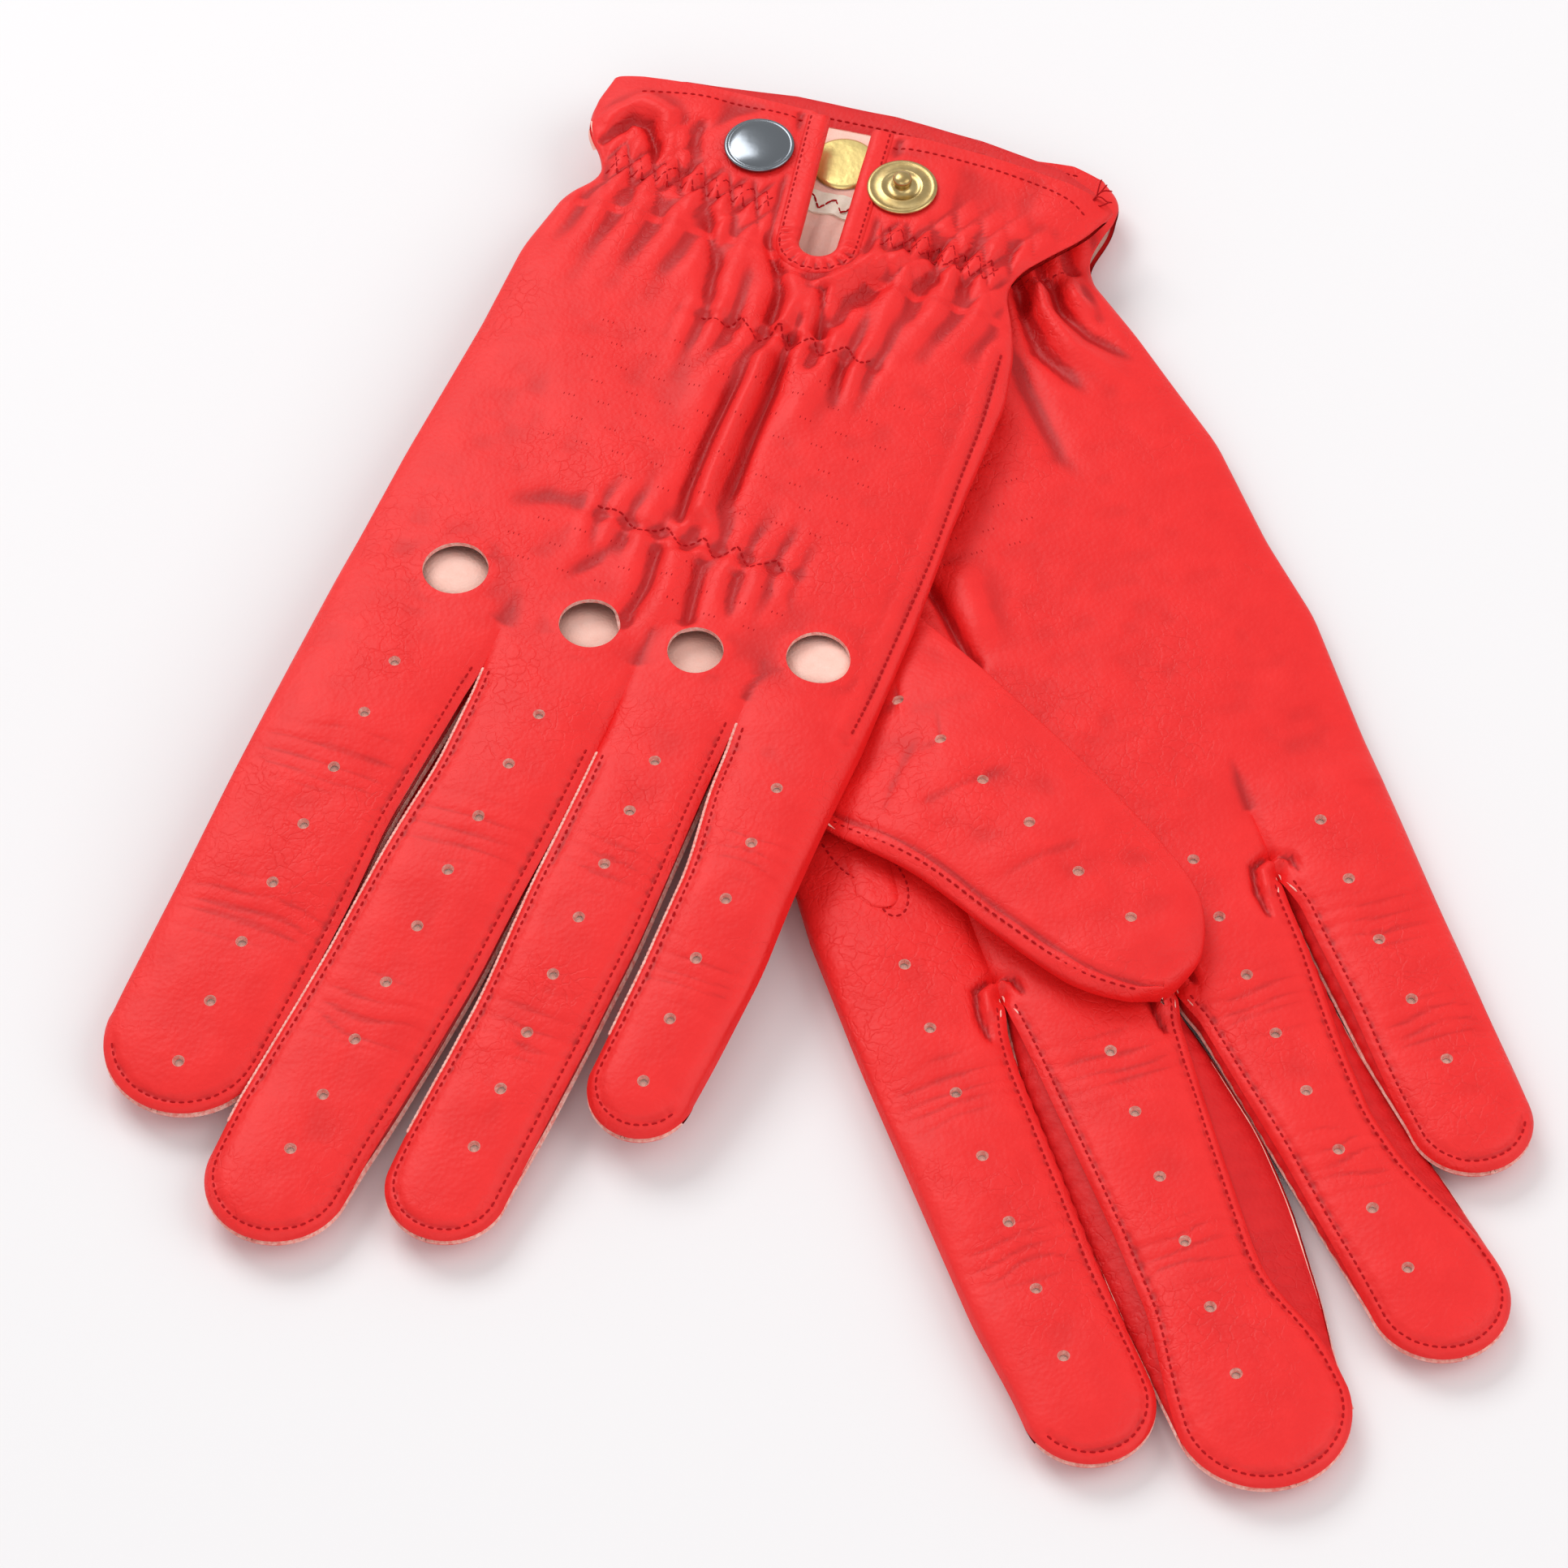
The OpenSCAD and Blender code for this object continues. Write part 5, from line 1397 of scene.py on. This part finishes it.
def strap(up, name, x0, x1, yc, width, z, body, node, back_side=False, zig=True):
    """A flat elastic sewn to the inside of the leather."""
    n, m = int((x1 - x0) / 0.5), 10
    xs = np.linspace(x0, x1, n + 1)[None].T
    v = np.linspace(-0.5, 0.5, m + 1)[None]
    X, Y = xs + 0 * v, yc + width * v + 0.25 * np.sin(xs * 0.35)
    Z = z(X, Y) + 0.07 * np.sin(xs * 2.6)
    p = Piece()
    face = out_dir(up, not back_side)
    p.sheet(lay(up, X, Y, Z), face, thick=0.0004, mats=(0, 0, 0))
    if zig:
        k = int((x1 - x0) / 1.9)
        zx = np.linspace(x0 + 0.8, x1 - 0.8, k)
        pts = np.stack([zx, yc + 0.3 * width * np.where(np.arange(k) % 2, 1, -1), 0 * zx], -1)
        pts[:, 2] = z(pts[:, 0], pts[:, 1]) + (0.1 if not back_side else -0.1)
        threads(p, lay(up, pts[:, 0], pts[:, 1], pts[:, 2]) * 1000, face, 1, pitch=1.25, length=1.15, radius=0.16)
    o = p.build(f"{PREFIX[up]}_{name}", [ELASTIC, THREAD])
    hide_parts(f"{NODE[up]}_{node}")
    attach(o, body)


def build_cuff(up):
    hand = BODY[up] + "_hand"
    palm_in = lambda x, y: hand_z(up, False, x, y) + 1.15
    back_in = lambda x, y: back_extra(up, x, y, hand_z(up, True, x, y)) - 1.15
    strap(up, "wrist_elastic", -28, 28, 6.9, 4.5, lambda x, y: palm_in(x, y) + 0.1, hand, "wrist_elastic")
    strap(up, "back_elastic_near", -8, 23, -27.2, 5.6, lambda x, y: back_in(x, y) - 0.1, hand, "back_elastic_near", True)
    strap(up, "back_elastic_far", -8, 23, -70.4, 5.6, lambda x, y: back_in(x, y) - 0.1, hand, "back_elastic_far", True)
    # turned hem inside the palm's rim
    xs = np.linspace(-39.4, 44.6, 160)
    v = np.linspace(0, 1, 10)[None]
    rim = palm_rim(xs)[:, None]
    X, Y = xs[:, None] + 0 * v, rim - 0.15 - (4.8 - 2.6 * step(-30, -40, xs) - 2.6 * step(36, 45, xs))[:, None] * v - 0.25 * noise(xs, 0 * xs, 6, 61)[:, None] * v
    Z = hand_z(up, False, X, Y) + 0.95 + 0.45 * np.sin(math.pi * np.clip(v * 0.9 + 0.1, 0, 1))
    p = Piece()
    p.sheet(lay(up, X, Y, Z), out_dir(up, True), thick=0.0005, mats=(0, 0, 1))
    q = np.stack([xs, palm_rim(xs) - 3.6], -1)[20:-20]
    z = hand_z(up, False, q[:, 0], q[:, 1]) + 1.32
    threads(p, lay(up, q[:, 0], q[:, 1], z) * 1000, out_dir(up, True), 2)
    # the hem takes the darker copy of the leather: painted shade for the shadow inside the palm's rim
    o = p.build(PREFIX[up] + "_cuff_hem", [SHADED_LEATHER, RAW, THREAD])
    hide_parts(NODE[up] + "_cuff_facing")
    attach(o, hand)
    # plain round label
    p = Piece()
    c = lay(up, 0.5, 16, float(hand_z(up, False, np.array([0.5]), np.array([16.0]))[0]) + 1.1)[0 : 3] * 1000
    sg = 1 if up else -1
    lathe(p, c, [(0.01, 0.55 * sg), (3.0, 0.55 * sg), (4.9, 0.5 * sg), (5.35, 0.3 * sg), (5.5, 0.0)], 64, 0)
    o = p.build(PREFIX[up] + "_label_disc", [GOLD])
    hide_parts(NODE[up] + "_label_disc")
    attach(o, hand)


def build_snaps(up):
    sg = 1 if up else -1
    seat = 6.45
    cap = [(0.01, 1.34), (1.5, 1.3), (2.8, 1.2), (3.8, 1.06), (4.5, 0.9), (4.85, 0.74), (5.0, 0.66), (5.15, 0.7), (5.4, 0.74), (5.62, 0.66), (5.75, 0.45), (5.7, 0.18), (5.4, 0.0)]
    stud = [(0.01, 3.0), (0.7, 2.95), (1.2, 2.75), (1.5, 2.4), (1.56, 2.05), (1.4, 1.6), (1.3, 1.1), (1.4, 0.6), (2.1, 0.34), (2.7, 0.36), (2.95, 0.5), (3.2, 0.62), (3.5, 0.62), (3.8, 0.5),
            (4.6, 0.42), (5.0, 0.5), (5.35, 0.56), (5.65, 0.4), (5.75, 0.2), (5.7, 0.0)]
    if not up:
        stud = [(r, min(h, 1.0)) for r, h in stud]
        stud[0] = (0.01, 1.1)
    parts = [("snap_cap", -12.0, cap, STEEL, "snap_steel", "cap_flap", 0.0, 1), ("snap_stud", 12.8, stud, BRASS, "snap_brass", "stud_flap", 0.0, 1),
             ("snap_socket", -12.0, [(0.01, 0.5), (2.0, 0.5), (2.3, 0.9), (2.8, 1.1), (3.7, 1.1), (4.1, 0.9), (4.8, 0.5), (4.85, 0.2), (4.8, 0)], STEEL, "snap_steel", "cap_flap", -1.1, -1),
             ("snap_washer", 12.8, [(0.01, 0.3), (1.0, 0.3), (1.3, 0.5), (3.8, 0.5), (4.2, 0.35), (4.4, 0.0)], BRASS, "snap_brass", "stud_flap", -1.1, -1)]
    for name, x, rings, mat, slot, body, dz, way in parts:
        p = Piece()
        c = lay(up, x, 10.0, seat + dz) * 1000
        lathe(p, c, [(r, h * sg * way) for r, h in rings], 96, 0)
        o = p.build(f"{PREFIX[up]}_{name}", [mat])
        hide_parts(f"{NODE[up]}_{'snap_post' if name == 'snap_washer' else name}")
        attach(o, f"{BODY[up]}_{body}")


for glove in (UP, LO):
    build_hand(glove)
    for finger in range(4):
        build_finger(glove, finger)
    build_thumb(glove)
    build_binding(glove)
    build_cuff(glove)
    build_snaps(glove)

# ------------------------------------------------------------------ floor, light and camera
floor_mesh = bpy.data.meshes.new("floor")
floor_mesh.from_pydata([(-4, -4, 0), (4, -4, 0), (4, 4, 0), (-4, 4, 0)], [], [(0, 1, 2, 3)])
floor = bpy.data.objects.new("floor", floor_mesh)
floor.location.z = -0.0002
bpy.context.scene.collection.objects.link(floor)
white = material("floor_white", lin(238, 236, 237), 0.9, spec=0.1)
floor_mesh.materials.append(white)


def area(name, loc, target, size, power, colour=(1, 1, 1)):
    l = bpy.data.lights.new(name, "AREA")
    l.shape = "RECTANGLE"
    l.size, l.size_y = size
    l.energy = power
    l.color = colour
    o = bpy.data.objects.new(name, l)
    o.location = loc
    o.rotation_euler = (Vector(target) - Vector(loc)).to_track_quat("-Z", "Y").to_euler()
    bpy.context.scene.collection.objects.link(o)
    return o


lights = [
    area("key", (-0.5, 0.75, 0.95), (0, 0, 0), (0.8, 0.6), 7.6),
    area("fill", (0.9, -0.2, 0.9), (0, 0, 0), (0.9, 0.9), 4.2),
    area("front", (-0.2, -1.0, 0.9), (0, 0, 0), (1.0, 0.6), 2.4),
]
w = bpy.data.worlds.new("studio")
bpy.context.scene.world = w
w.use_nodes = True
w.node_tree.nodes["Background"].inputs["Color"].default_value = (1, 1, 1, 1)
w.node_tree.nodes["Background"].inputs["Strength"].default_value = 0.6
bpy.context.scene.view_settings.view_transform = "Standard"

cam = bpy.data.cameras.new("camera")
cam.sensor_width = 36
cam.lens = 135
cam.clip_start, cam.clip_end = 0.05, 20
camera = bpy.data.objects.new("camera", cam)
tilt = math.radians(54)
camera.location = Vector((-0.0045, -0.00665, 0)) + Vector((0, -math.cos(tilt), math.sin(tilt))) * 0.9
camera.rotation_euler = (math.radians(90 - 54), 0, 0)
bpy.context.scene.collection.objects.link(camera)
bpy.context.scene.camera = camera
